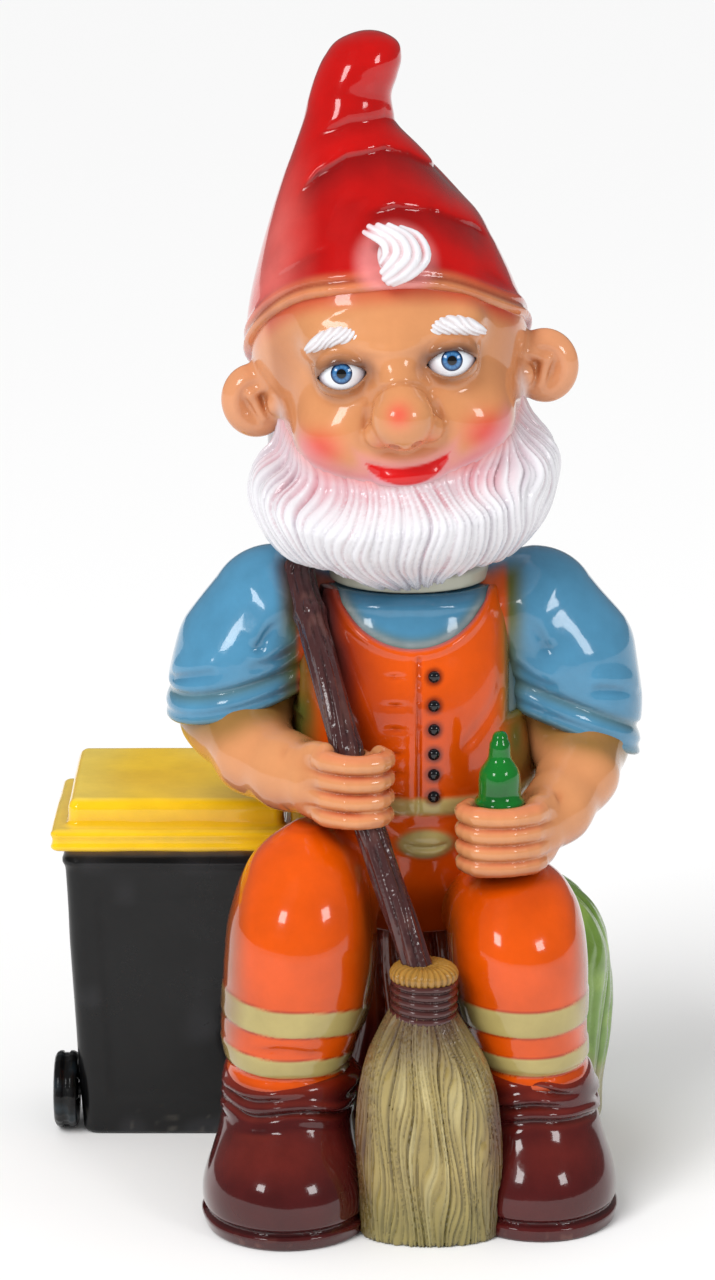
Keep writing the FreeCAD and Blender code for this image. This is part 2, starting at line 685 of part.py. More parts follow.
# ---------------------------------------------------------------- the assembly
def nodes():
    made = {
        "hat": hat, "head_shell": head_shell, "beard": beard, "back_hair": back_hair,
        "forelock": forelock, "shirt": shirt, "overalls": overalls, "bib_buttons": bib_buttons,
        "stump_seat": stump,
        "fill_hole_stopper": stopper, "broom_handle": broom_handle, "broom_collar": broom_collar,
        "broom_binding": broom_binding, "broom_bristles": bristle_form, "bottle": bottle_form,
        "bin_body": bin_body, "bin_lid": bin_lid, "bin_axle": bin_axle,
    }
    for side in SIDES:
        made["eye_" + side] = functools.partial(eye_ball, side)
        made["eyebrow_" + side] = functools.partial(eyebrow, side)
        made["sleeve_" + side] = functools.partial(sleeve, side)
        made["forearm_" + side] = functools.partial(forearm, side)
        made["trouser_leg_" + side] = functools.partial(trouser_leg, side)
        made["boot_" + side] = functools.partial(boot, side)
    for name in WHEEL_STARTS:
        made["bin_wheel_" + name] = functools.partial(bin_wheel, name)
    return made


def main():
    os.makedirs("parts", exist_ok=True)
    for name, make in nodes().items():
        shape = make()
        shape.exportStep("parts/%s.step" % name)
        box = shape.optimalBoundingBox(False)
        print("%-20s valid %s solids %d volume %8.0f  x %.1f..%.1f y %.1f..%.1f z %.1f..%.1f" % (
            name, shape.isValid(), len(shape.Solids), shape.Volume,
            box.XMin, box.XMax, box.YMin, box.YMax, box.ZMin, box.ZMax))


main()
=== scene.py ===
import json
import math

import bpy
import numpy as np
import openvdb
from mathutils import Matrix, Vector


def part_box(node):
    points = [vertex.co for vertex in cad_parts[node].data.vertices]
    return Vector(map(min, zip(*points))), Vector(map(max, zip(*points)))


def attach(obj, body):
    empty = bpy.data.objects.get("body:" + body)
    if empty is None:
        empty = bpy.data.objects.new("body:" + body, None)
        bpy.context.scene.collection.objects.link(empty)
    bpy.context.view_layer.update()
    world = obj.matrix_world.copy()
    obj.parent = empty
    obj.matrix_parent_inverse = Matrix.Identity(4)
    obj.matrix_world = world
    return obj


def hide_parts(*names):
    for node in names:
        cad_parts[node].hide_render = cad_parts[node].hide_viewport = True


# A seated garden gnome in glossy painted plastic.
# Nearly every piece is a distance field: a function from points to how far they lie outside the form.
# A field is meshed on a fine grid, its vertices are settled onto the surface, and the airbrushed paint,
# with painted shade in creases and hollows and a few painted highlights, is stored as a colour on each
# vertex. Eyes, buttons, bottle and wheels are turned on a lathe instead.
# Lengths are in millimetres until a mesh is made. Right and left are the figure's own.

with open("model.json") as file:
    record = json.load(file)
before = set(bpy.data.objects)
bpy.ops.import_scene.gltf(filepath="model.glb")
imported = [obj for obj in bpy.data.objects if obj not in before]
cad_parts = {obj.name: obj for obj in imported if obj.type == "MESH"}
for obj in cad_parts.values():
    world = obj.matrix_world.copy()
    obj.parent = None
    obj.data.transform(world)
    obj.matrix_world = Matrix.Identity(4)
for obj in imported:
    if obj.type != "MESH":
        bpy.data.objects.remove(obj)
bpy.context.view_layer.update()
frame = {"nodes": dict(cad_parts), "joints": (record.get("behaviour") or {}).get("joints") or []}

MM = 0.001
GRID = 1.0          # scales every mesh's grid step
TURN_LIMIT = math.radians(25.0)            # the head's turn each way
FLOOR = 0.02                               # where the pieces that stand on the floor end
SIDES = ("right", "left")                  # the figure's own


# ---------------------------------------------------------------- places, from the frame
def node_box(*nodes):
    """Lowest and highest corner of some CAD nodes, in millimetres."""
    corners = np.array([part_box(node) for node in nodes]) / MM
    return corners[:, 0].min(0), corners[:, 1].max(0)


def middle(*nodes):
    low, high = node_box(*nodes)
    return (low + high) / 2


EYES = {side: middle("eye_" + side) for side in SIDES}
ACROSS = (EYES["left"] - EYES["right"]) / np.linalg.norm(EYES["left"] - EYES["right"])
UP = np.array([-ACROSS[2], 0.0, ACROSS[0]])
# an eye's middle in the head's own axes: across from the middle of the face, back and up
EYE_PLACE = np.array([np.linalg.norm(EYES["left"] - EYES["right"]) / 2, -36.5, 13.0])
HEAD = (EYES["left"] + EYES["right"]) / 2 - np.array([0, EYE_PLACE[1], 0]) - UP * EYE_PLACE[2]
NECK = np.array(next(j for j in frame["joints"] if j["name"] == "head_turn")["pos_m"]) / MM
WHEEL_MIDDLE = {name: middle("bin_wheel_" + name) for name in ("outer", "inner")}


# ---------------------------------------------------------------- distance fields
def length(q):
    return np.sqrt((q * q).sum(-1))


def at(x, y, z):
    return np.stack(np.broadcast_arrays(x, y, z), -1)


def xyz(p):
    return p[..., 0], p[..., 1], p[..., 2]


def ellipsoid(p, centre, radii):
    q = p - np.asarray(centre)
    r = np.asarray(radii)
    near = length(q / r)
    return near * (near - 1.0) / np.maximum(length(q / (r * r)), 1e-6)


def capsule(p, a, b, ra, rb):
    """A rod from a to b with round ends, ra thick at a and rb at b."""
    a, b = np.asarray(a, float), np.asarray(b, float)
    t = np.clip(((p - a) @ (b - a)) / ((b - a) @ (b - a)), 0, 1)
    return length(p - a - t[..., None] * (b - a)) - (ra + t * (rb - ra))


def upright(p, centre, radius, low, high, rounding):
    """A cylinder along Z with rounded rims."""
    side = np.hypot(p[..., 0] - centre[0], p[..., 1] - centre[1]) - radius + rounding
    end = np.abs(p[..., 2] - (low + high) / 2) - (high - low) / 2 + rounding
    past = np.hypot(np.maximum(side, 0), np.maximum(end, 0))
    return past + np.minimum(np.maximum(side, end), 0) - rounding


def block(p, centre, half, rounding):
    q = np.abs(p - np.asarray(centre)) - (np.asarray(half) - rounding)
    return length(np.maximum(q, 0)) + np.minimum(q.max(-1), 0) - rounding


def join(a, b, soft):
    """Both forms, with a fillet of about `soft` between them."""
    h = np.maximum(soft - np.abs(a - b), 0) / soft
    return np.minimum(a, b) - h * h * soft / 4


def carve(a, b, soft):
    """a less b."""
    return -join(-a, b, soft)


def shared(a, b, soft):
    """What a and b have in common."""
    return -join(-a, -b, soft)


def chain(p, steps, soft):
    """Rods through (centre, radius) steps, blended."""
    form = None
    for (a, ra), (b, rb) in zip(steps, steps[1:]):
        rod = capsule(p, a, b, ra, rb)
        form = rod if form is None else join(form, rod, soft)
    return form


def curve(points, count):
    """A smooth line through a few points, as `count` points."""
    points = np.asarray(points, float)
    ends = np.vstack([2 * points[0] - points[1], points, 2 * points[-1] - points[-2]])
    along = np.linspace(0, len(points) - 1, count)
    i = np.minimum(along.astype(int), len(points) - 2)
    t = (along - i)[:, None]
    a, b, c, d = ends[i], ends[i + 1], ends[i + 2], ends[i + 3]
    return 0.5 * (
        2 * b + (c - a) * t + (2 * a - 5 * b + 4 * c - d) * t ** 2 + (3 * b - a - 3 * c + d) * t ** 3
    )


def to_line(p, line):
    """How far points lie from a line of points, and how far along it the nearest place is, from 0 to 1."""
    best = np.full(p.shape[:-1], 1e9)
    where = np.zeros(p.shape[:-1])
    for i, (a, b) in enumerate(zip(line, line[1:])):
        t = np.clip(((p - a) @ (b - a)) / max((b - a) @ (b - a), 1e-9), 0, 1)
        far = length(p - a - t[..., None] * (b - a))
        closer = far < best
        best = np.where(closer, far, best)
        where = np.where(closer, (i + t) / (len(line) - 1), where)
    return best, where


def welt(p, points, width, count=12):
    """A bump of height 1 along a curve, fading out over `width` and towards both ends."""
    far, where = to_line(p, curve(points, count))
    return ridge(far, width) * np.minimum(1, 6 * np.minimum(where, 1 - where) + 0.15)


def creased(form, p, creases):
    """The form with creases of (depth, width, points) cut into it. A negative depth swells."""
    for depth, width, points in creases:
        form = form + depth * welt(p, points, width)
    return form


def table(z, rows, column):
    """A column of a table of sections, read smoothly at heights z."""
    heights = np.array([row[0] for row in rows])
    values = np.array([row[column] for row in rows])
    slopes = np.gradient(values, heights)
    i = np.clip(np.searchsorted(heights, z) - 1, 0, len(rows) - 2)
    span = heights[i + 1] - heights[i]
    t = np.clip((z - heights[i]) / span, 0, 1)
    rise = (values[i + 1] - values[i]) * (3 * t ** 2 - 2 * t ** 3)
    return values[i] + rise + span * (
        slopes[i] * (t - 2 * t ** 2 + t ** 3) + slopes[i + 1] * (t ** 3 - t ** 2)
    )


def stacked(p, rows, rounding):
    """A form through level ovals: rows of height, centre x, centre y, half width, half depth."""
    z = p[..., 2]
    rx, ry = table(z, rows, 3), table(z, rows, 4)
    u, v = (p[..., 0] - table(z, rows, 1)) / rx, (p[..., 1] - table(z, rows, 2)) / ry
    ring = np.hypot(u, v)
    side = ring * (ring - 1) / np.maximum(np.hypot(u / rx, v / ry), 1e-6)
    ends = np.maximum(rows[0][0] - z, z - rows[-1][0])
    return shared(side, ends, rounding)


def fade(value, start, end):
    """From 0 at start to 1 at end, smoothly."""
    t = np.clip((value - start) / (end - start), 0, 1)
    return t * t * (3 - 2 * t)


def ridge(value, width):
    """From 1 where the value is 0 down to 0 well beyond the width."""
    return np.exp(-(value / width) ** 2)


def noise(p, size, seed):
    """Smooth values from -1 to 1 with features of about `size`, the same on every run."""
    q = p / size + seed * 17.3
    cell = np.floor(q).astype(np.int64)
    t = q - cell
    t = t * t * (3 - 2 * t)
    total = 0.0
    for corner in np.ndindex(2, 2, 2):
        c = cell + corner
        mixed = (c[..., 0] * 73856093) ^ (c[..., 1] * 19349663) ^ (c[..., 2] * 83492791)
        mixed = (mixed * 2654435761 + seed * 97) & 0xFFFFFFFF
        mixed = ((mixed >> 15) ^ mixed) * 2246822519 & 0xFFFFFFFF
        weight = np.prod(np.where(corner, t, 1 - t), -1)
        total = total + weight * (mixed / 2 ** 31 - 1)
    return total


def strands(u, width):
    """Rounded ridges side by side, `width` apart, from 0 in the grooves to 1."""
    return np.abs(np.cos(math.pi * u / width)) ** 0.7


# ---------------------------------------------------------------- meshing
BLOCK = 8                   # grid cells along the side of a block
BLOCKS_AT_ONCE = 300        # about how many blocks are worked out together, which limits the memory needed
HALF_DIAGONAL = 0.87        # of a cube with sides of 1
SLACK = 5.0                 # how far a field may overstate a distance


def grid_values(field, low, counts, step):
    """The field on a grid. Blocks that the surface can't pass through hold only inside or outside."""
    outside = 3 * step
    blocks = counts // BLOCK
    axes = [low[i] + step * (np.arange(blocks[i]) * BLOCK + (BLOCK - 1) / 2) for i in range(3)]
    rough = field(at(axes[0][:, None, None], axes[1][None, :, None], axes[2][None, None, :]))
    values = np.empty((blocks[0], BLOCK, blocks[1], BLOCK, blocks[2], BLOCK), np.float32)
    values[:] = np.where(rough > 0, outside, -outside)[:, None, :, None, :, None]
    near = np.argwhere(np.abs(rough) < step * BLOCK * HALF_DIAGONAL + SLACK)
    inner = np.stack(np.meshgrid(*[np.arange(BLOCK)] * 3, indexing="ij"), -1)
    for some in np.array_split(near, max(1, len(near) // BLOCKS_AT_ONCE)):
        points = low + step * (some[:, None, None, None] * BLOCK + inner)
        values[some[:, 0], :, some[:, 1], :, some[:, 2], :] = np.clip(field(points), -outside, outside)
    values = values.reshape(counts)
    for axis in range(3):
        for end in (0, -1):
            np.moveaxis(values, axis, 0)[end] = outside
    return values


def slopes(field, points, reach=0.35):
    """The field's values and unit normals at points."""
    gradient = np.empty_like(points)
    for axis in range(3):
        step = np.zeros(3)
        step[axis] = reach
        gradient[:, axis] = (field(points + step) - field(points - step)) / (2 * reach)
    size = np.maximum(length(gradient), 0.3)
    return field(points) / size, gradient / np.maximum(length(gradient), 1e-6)[:, None]


def surface(field, low, high, step):
    """Vertices on the field's surface, faces between them, and the normals there."""
    step = step * GRID
    counts = (np.ceil((high - low) / step / BLOCK).astype(int) + 1) * BLOCK
    low = (low + high) / 2 - counts * step / 2
    grid = openvdb.FloatGrid(3 * step)
    grid.copyFromArray(grid_values(field, low, counts, step))
    points, quads = grid.convertToQuads(isovalue=0.0)
    points = points.astype(float) * step + low
    for _ in range(2):
        far, normals = slopes(field, points)
        points -= np.clip(far, -step / 2, step / 2)[:, None] * normals
    return points, quads[:, ::-1], slopes(field, points)[1]


def make_object(nodes, points, faces, colours, material, body):
    """A painted piece that stands for some CAD nodes and is named after the first."""
    name = nodes[0] + "_v"
    mesh = bpy.data.meshes.new(name)
    mesh.from_pydata((points * MM).tolist(), [], faces.tolist() if isinstance(faces, np.ndarray) else faces)
    mesh.shade_smooth()
    mesh.validate()
    paint = mesh.color_attributes.new("paint", "FLOAT_COLOR", "POINT")
    rgba = np.ones((len(mesh.vertices), 4), np.float32)
    rgba[:, :3] = np.clip(colours, 0, 1)
    paint.data.foreach_set("color", rgba.ravel())
    piece = bpy.data.objects.new(name, mesh)
    bpy.context.scene.collection.objects.link(piece)
    mesh.materials.append(material)
    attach(piece, body)
    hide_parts(*nodes)


def hollowness(field, points, normals, reach):
    """How deep in a crease each point lies: 0 on open surface, towards 1 in a narrow groove."""
    return np.clip(1 - field(points + normals * reach) / reach, 0, 1)


def sculpt(nodes, field, colours, material, step, margin=4.0, body="figure"):
    """Meshes and paints a field inside its CAD nodes' box, with a margin."""
    low, high = node_box(*nodes)
    points, faces, normals = surface(field, low - margin, high + margin, step)
    make_object(nodes, points, faces, colours(points, normals), material, body)


def lathe(profile, around):
    """Points and faces of a closed form turned about Z. The profile is a list of (radius, height) points
    that starts and ends at radius 0."""
    ring = np.linspace(0, 2 * math.pi, around, endpoint=False)
    inner = profile[1:-1]
    points = [(0, 0, profile[0][1])]
    points += [(r * math.cos(a), r * math.sin(a), z) for r, z in inner for a in ring]
    points.append((0, 0, profile[-1][1]))
    last = len(points) - 1
    faces = [(0, 1 + (j + 1) % around, 1 + j) for j in range(around)]
    for i in range(len(inner) - 1):
        a, b = 1 + i * around, 1 + (i + 1) * around
        faces += [(a + j, a + (j + 1) % around, b + (j + 1) % around, b + j) for j in range(around)]
    top = 1 + (len(inner) - 1) * around
    faces += [(top + j, top + (j + 1) % around, last) for j in range(around)]
    return np.array(points, float), faces


# ---------------------------------------------------------------- paint
def colour(r, g, b):
    """Linear light from the usual 0 to 255 numbers."""
    values = np.array([r, g, b]) / 255
    return np.where(values <= 0.04045, values / 12.92, ((values + 0.055) / 1.055) ** 2.4)


RED = colour(184, 8, 6)
# dark red for painted shade on the hat
RED_SHADE = colour(112, 4, 6)
SKIN = colour(206, 140, 92)
SKIN_SHADE = colour(160, 80, 40)
ROSE = colour(222, 88, 70)
LIPS = colour(205, 16, 18)
WHITE = colour(224, 223, 227)
HAIR_SHADE = colour(186, 178, 188)
PINK = colour(214, 130, 140)
LINER = colour(70, 45, 42)
BLUE = colour(74, 134, 168)
BLUE_SHADE = colour(38, 84, 112)
ORANGE = colour(216, 80, 2)
ORANGE_SHADE = colour(140, 36, 4)
OLIVE = colour(88, 92, 38)
SILVER = colour(172, 160, 100)
MAROON = colour(72, 18, 18)
MAROON_SHADE = colour(36, 8, 10)
HANDLE_BROWN = colour(66, 38, 38)
STRAW = colour(158, 140, 84)
STRAW_SHADE = colour(58, 44, 20)
OCHRE = colour(158, 116, 50)
GREEN = colour(16, 106, 34)
MOSS = colour(112, 146, 62)
MOSS_SHADE = colour(52, 68, 34)
STONE = colour(160, 152, 112)
BLACK = colour(11, 11, 12)
YELLOW = colour(242, 196, 20)
YELLOW_SHADE = colour(206, 150, 10)
CHEEK = colour(212, 66, 52)
# lighter skin for a painted highlight on the ears
EAR_HIGHLIGHT = colour(226, 160, 118)
NECK_GREY = colour(176, 176, 160)
LOCK_SHADE = colour(205, 96, 100)
BROW_SHADE = colour(176, 140, 130)
# pale pink for a painted sheen on the hat's left side
HAT_SHEEN = colour(226, 120, 112)
HAT_PINK = colour(230, 140, 138)
EYE_WHITE = colour(228, 232, 238)
EYE_RIM = colour(196, 190, 200)
IRIS = colour(38, 88, 140)
IRIS_RAY = colour(96, 156, 204)
IRIS_EDGE = colour(10, 26, 60)
PUPIL = colour(8, 9, 12)
NECKLINE_GREY = colour(160, 166, 172)
BUTTON_BLACK = colour(14, 14, 18)
CUFF_BROWN = colour(120, 92, 36)
TROUSER_BROWN = colour(112, 62, 18)
# lighter maroon for painted light on the boots' tops
BOOT_TOP_HIGHLIGHT = colour(120, 40, 28)
LEATHER_WORN = colour(110, 70, 60)
MOSS_LIGHT = colour(150, 178, 84)
HANDLE_SHADE = colour(24, 12, 14)
HANDLE_LIGHT = colour(112, 74, 66)
STRAW_LIGHT = colour(198, 184, 132)
BINDING_BROWN = colour(74, 40, 38)
BINDING_SHADE = colour(26, 12, 12)
GREEN_SHADE = colour(8, 56, 18)
BIN_GREY = colour(58, 58, 62)
DUST = colour(96, 92, 84)
BIN_BROWN = colour(60, 20, 8)
# pale yellow for painted light on the lid's top
LID_TOP_HIGHLIGHT = colour(228, 214, 120)
LID_GREEN = colour(160, 140, 20)
TYRE_GREY = colour(48, 62, 70)
STOPPER_WHITE = colour(205, 204, 196)
AXLE_GREY = colour(40, 40, 42)


def base(points, tint):
    """One tint all over."""
    return np.repeat(tint[None], len(points), 0)


def mist(colours, *coats):
    """Airbrushes coats, each a tint and its amount, over the colours."""
    for tint, amount in coats:
        amount = np.clip(amount, 0, 1)[:, None]
        colours = colours * (1 - amount) + tint * amount
    return colours


def mottled(points, amount, size=9.0):
    """An amount of spray that varies a little from place to place."""
    return amount * (1 + 0.25 * noise(points, size, 3))


# ---------------------------------------------------------------- materials
def node(tree, kind, **values):
    made = tree.nodes.new(kind)
    for key, value in values.items():
        socket = made.inputs.get(key.replace("_", " "))
        if socket is None:
            setattr(made, key, value)
        else:
            socket.default_value = value
    return made


def lacquer(name, rough=(0.16, 0.3), coat=0.8, peel=0.12, mottle=0.1, grain=None, grain_depth=0.25):
    """Painted plastic under gloss varnish: sprayed colour that varies a little, a faint orange peel in the
    varnish, duller scuffed patches, and an optional finer grain, given as a noise's scale along X, Y, Z."""
    material = bpy.data.materials.new(name)
    material.use_nodes = True
    tree = material.node_tree
    link = tree.links.new
    shader = tree.nodes["Principled BSDF"]
    place = node(tree, "ShaderNodeTexCoord")
    paint = node(tree, "ShaderNodeVertexColor", layer_name="paint")

    cloud = node(tree, "ShaderNodeTexNoise", Scale=55.0, Detail=5.0, Roughness=0.6)
    link(place.outputs["Object"], cloud.inputs["Vector"])
    shade = node(
        tree, "ShaderNodeMapRange", From_Min=0.3, From_Max=0.7, To_Min=1.0 - mottle, To_Max=1.0 + mottle
    )
    link(cloud.outputs["Fac"], shade.inputs["Value"])
    tinted = node(tree, "ShaderNodeVectorMath", operation="SCALE")
    link(paint.outputs["Color"], tinted.inputs[0])
    link(shade.outputs["Result"], tinted.inputs["Scale"])
    link(tinted.outputs["Vector"], shader.inputs["Base Color"])

    scuffs = node(tree, "ShaderNodeTexNoise", Scale=30.0, Detail=8.0, Roughness=0.7, Distortion=0.6)
    link(place.outputs["Object"], scuffs.inputs["Vector"])
    dull = node(tree, "ShaderNodeMapRange", From_Min=0.35, From_Max=0.75, To_Min=rough[0], To_Max=rough[1])
    link(scuffs.outputs["Fac"], dull.inputs["Value"])
    link(dull.outputs["Result"], shader.inputs["Roughness"])

    skin = node(tree, "ShaderNodeTexNoise", Scale=260.0, Detail=3.0, Roughness=0.5)
    link(place.outputs["Object"], skin.inputs["Vector"])
    relief = node(tree, "ShaderNodeBump", Strength=peel, Distance=0.0008)
    link(skin.outputs["Fac"], relief.inputs["Height"])
    if grain:
        stretch = node(tree, "ShaderNodeMapping")
        stretch.inputs["Scale"].default_value = grain
        link(place.outputs["Object"], stretch.inputs["Vector"])
        fibres = node(tree, "ShaderNodeTexNoise", Scale=1.0, Detail=4.0, Roughness=0.6)
        link(stretch.outputs["Vector"], fibres.inputs["Vector"])
        fine = node(tree, "ShaderNodeBump", Strength=grain_depth, Distance=0.0006)
        link(fibres.outputs["Fac"], fine.inputs["Height"])
        link(relief.outputs["Normal"], fine.inputs["Normal"])
        relief = fine
    link(relief.outputs["Normal"], shader.inputs["Normal"])
    shader.inputs["IOR"].default_value = 1.5
    shader.inputs["Coat Weight"].default_value = coat
    shader.inputs["Coat Roughness"].default_value = 0.05
    shader.inputs["Coat IOR"].default_value = 1.5
    shader.inputs["Specular IOR Level"].default_value = 0.2
    return material


# ---------------------------------------------------------------- head
def in_head(p):
    """Points in the head's own axes: across to its left, back, and up, from its centre."""
    q = p - HEAD
    return at(q @ ACROSS, q[..., 1], q @ UP)


def mirrored(q):
    return at(np.abs(q[..., 0]), q[..., 1], q[..., 2])


def eye_slit(m):
    """The almond opening of an eye, seen from the front."""
    half_width, half_height = 9.0, 4.7
    radius = (half_width ** 2 + half_height ** 2) / (2 * half_height)
    drop = radius - half_height
    x, z = m[..., 0] - EYE_PLACE[0], m[..., 2] - EYE_PLACE[2] + 0.4
    return np.maximum(np.hypot(x, z + drop), np.hypot(x, z - drop)) - radius


def beard_window(q):
    """The face's outline where the beard starts, positive outside it."""
    ring = (np.abs(q[..., 0] / 46.0) ** 2.8 + np.abs((q[..., 2] - 8.0) / 37.0) ** 2.8) ** (1 / 2.8)
    return (ring - 1) * 40.0


def skull(q):
    return ellipsoid(q, (0, 0, 0), (45, 45, 56))


def cheeks_and_skull(q):
    form = join(skull(q), ellipsoid(mirrored(q), (22, -27, -12), (17, 16, 15)), 10)
    return join(form, ellipsoid(q, (0, -35.0, -22), (20.0, 11.0, 11.0)), 6)


def forehead(p):
    """The forehead and temples, which fill the hat to its edge and draw in below it."""
    below = np.maximum(-hat_edge(p), 0)
    return stacked(p, HAT, 5.0) + 1.7 + 0.022 * below ** 2


def face(p):
    q = in_head(p)
    m = mirrored(q)
    form = join(cheeks_and_skull(q), np.maximum(forehead(p), hat_edge(p) - 4), 6)
    form = join(form, capsule(m, (2, -38, 23), (24, -33, 24.5), 7.5, 8), 8)
    form = carve(form, ellipsoid(m, (19.8, -48, 12.0), (11, 8, 6.6)), 6)
    form = join(form, capsule(q, (0, -39, 18), (0, -45, 4), 5, 7.5), 6)
    form = join(form, ellipsoid(q, (0, -48.5, -4.5), (11.2, 10.5, 11.5)), 2.5)
    form = join(form, ellipsoid(m, (9.5, -45, -9.5), (4.8, 5, 4.8)), 2.5)
    form = carve(form, ellipsoid(m, (4.2, -53, -13.5), (2.0, 3, 1.6)), 1.5)
    lids = length(m - EYE_PLACE) - 10.3
    form = join(form, lids, 2.5)
    form = carve(form, np.maximum(eye_slit(m), m[..., 1] + 35.0), 0.6)
    form = join(form, ellipsoid(q, (0, -43.0, -26.3), (12.0, 4.2, 3.6)), 2.5)
    form = creased(form, q, [
        (0.7, 0.9, [(-16, -42, -19), (-8, -46, -21.8), (0, -47, -22.6), (8, -46, -21.8), (16, -42, -19)]),
        (0.8, 1.2, [(-12.5, -42, 0), (-9, -46, 5.5), (0, -50, 8.5), (9, -46, 5.5), (12.5, -42, 0)]),
        (-0.8, 1.8, [(-10, -44, 21), (0, -46, 20), (10, -44, 21)]),
        (-0.5, 2.2, [(-26, -38, 33), (-10, -43, 36.5), (10, -43, 36.5), (26, -38, 33)]),
    ])
    form = creased(form, m, [
        (0.9, 1.5, [(12, -44, 1), (13.5, -43, -7), (17, -41, -13), (19, -39, -18)]),
        (0.6, 1.2, [(10, -42, 4.5), (19, -44, 3), (29, -37, 6.5)]),
        (-0.8, 1.4, [(11, -42, 15.5), (19, -45, 19.6), (28.5, -39, 15.5)]),
    ])
    return join(join(form, ears(m), 3.0), neck(p), 3.0)


def ears(m):
    form = ellipsoid(m, (53.5, -1, 0), (12.5, 6.2, 13.8))
    form = join(form, capsule(m, (41, 0, -1), (47, 0, -1), 8, 7), 4)
    form = carve(form, ellipsoid(m, (52.5, -9.5, -0.5), (8.2, 6, 9.6)), 2.5)
    form = join(form, capsule(m, (49, -4.5, 5.5), (54.5, -4.5, 3.0), 1.8, 1.6), 2)
    form = join(form, capsule(m, (54.5, -4.5, 3.0), (51, -4.5, -6.0), 1.7, 1.9), 2)
    return join(form, ellipsoid(m, (46, -6, -1.5), (3.2, 3.5, 4.2)), 2)


def neck(p):
    """Neck column, the flange that stands over the collar, and the plug in it."""
    low, _ = node_box("head_shell")
    column = upright(p, NECK, 26.5, 233, 262, 2)
    flange = upright(p, NECK, 30.0, 228.5, 234.5, 1.2)
    plug = upright(p, NECK, 21.9, low[2], 230, 0.8)
    return np.minimum(join(column, flange, 3), plug)


def face_colours(p, n):
    q = in_head(p)
    x, y, z = xyz(q)
    m = mirrored(q)
    spots = np.minimum(*[length((q - (across, -37, -13.5)) / (8.0, 14, 7.0)) for across in (-30.0, 28.0)])
    near_slit = eye_slit(m)
    front = fade(-y, 28, 36)
    upper = 0.55 + 0.45 * fade(m[..., 2], 11, 17)
    beard_edge = beard_window(q)
    above_hem = hat_edge(p)
    lips = lip_shape(q)
    ear = fade(np.abs(x), 43, 47)
    return mist(
        base(p, SKIN),
        (SKIN_SHADE, 0.48 * hollowness(face, p, n, 3.0)),
        (SKIN_SHADE, 0.35 * fade(np.abs(x), 30, 44)),
        (CHEEK, mottled(p, 0.95 * np.exp(-spots ** 2.4))),
        (ROSE, 0.9 * ridge(length(q - (-1.0, -58, -1.0)), 4.4)),
        (ROSE, 0.35 * ridge(length(m - (7, -50, -14)), 5)),
        (LINER, mottled(p, 0.95 * upper * front * fade(near_slit, 6.0, -0.5), 5.0)),
        (PINK, mottled(p, 0.8 * front * fade(beard_edge, -10, -2) * fade(-z, 0, 12))),
        (WHITE, fade(beard_edge, -4, 2) * fade(-z, -6, 6) * fade(45 - np.abs(x), -3, 2)),
        (RED, mottled(p, 0.7 * fade(above_hem, -8, 1) * fade(-p[..., 1], 0, 20))),
        (PINK, 0.6 * fade(lips, 6, 0) * front),
        (LIPS, fade(lips, 0.6, -0.4) * front),
        # painted highlight: lighter skin on the ears wherever they are not hollow
        (EAR_HIGHLIGHT, 0.6 * ear * (1 - hollowness(face, p, n, 5.0))),
        (NECK_GREY, fade(p[..., 2], 238, 233)),
    )


def lip_shape(q):
    """The painted mouth, seen from the front: a crescent, negative inside."""
    across = q[..., 0] / 15.0
    top = -22.6 + 3.0 * across ** 2
    bottom = top - 6.4 * np.sqrt(np.maximum(1 - across ** 2, 0))
    return np.maximum(np.maximum(q[..., 2] - top, bottom - q[..., 2]), (np.abs(across) - 1) * 15.0)


BEARD_CENTRE = (-2.5, -15.0, -36.0)


def beard_form(p):
    q = in_head(p)
    m = mirrored(q - (BEARD_CENTRE[0], 0, 0))
    form = ellipsoid(q, BEARD_CENTRE, (55.0, 41, 37.5))
    form = join(form, capsule(m, (42.0, -4, -10), (45.0, -8, -32), 7.0, 11), 8)
    out = beard_window(q)
    rise = np.clip(0.9 + 0.6 * out + 0.035 * np.maximum(out, 0) ** 2, -6, 60)
    form = shared(form, cheeks_and_skull(q) - rise, 5.0)
    form = shared(form, p[..., 1] - 17.0, 4.0)
    return clear_of_shoulders(p, form)


def clear_of_shoulders(p, form):
    """Lifts the form off the shoulders wherever the head's turn brings it over them."""
    x, y = p[..., 0] - NECK[0], p[..., 1] - NECK[1]
    for turn in (-TURN_LIMIT, 0.0, TURN_LIMIT):
        behind = x * math.sin(turn) + y * math.cos(turn)
        form = carve(form, np.maximum(p[..., 2] - 239.5, -26.0 - behind), 4.0)
    return form


def hair_flow(q):
    """Place across the strands of hair that hang round the head, wavy, in millimetres."""
    around = np.arctan2(q[..., 0] + 2, -(q[..., 1] + 2)) * 50.0
    fall = q[..., 2] + 30.0
    wave = 3.0 * np.sin(fall / 7.5 + 0.08 * around) + 3.8 * noise(q, 16.0, 5)
    return around * (1 - 0.0025 * fall) + wave


def beard(p):
    q = in_head(p)
    u = hair_flow(q)
    depth = 0.35 + 0.65 * fade(beard_window(q), 0, 12)
    locks = 1.2 * strands(u, 8.6) + 0.9 * strands(u + 0.8 * noise(q, 13.0, 2), 3.1)
    return beard_form(p) - depth * (locks - 1.3)


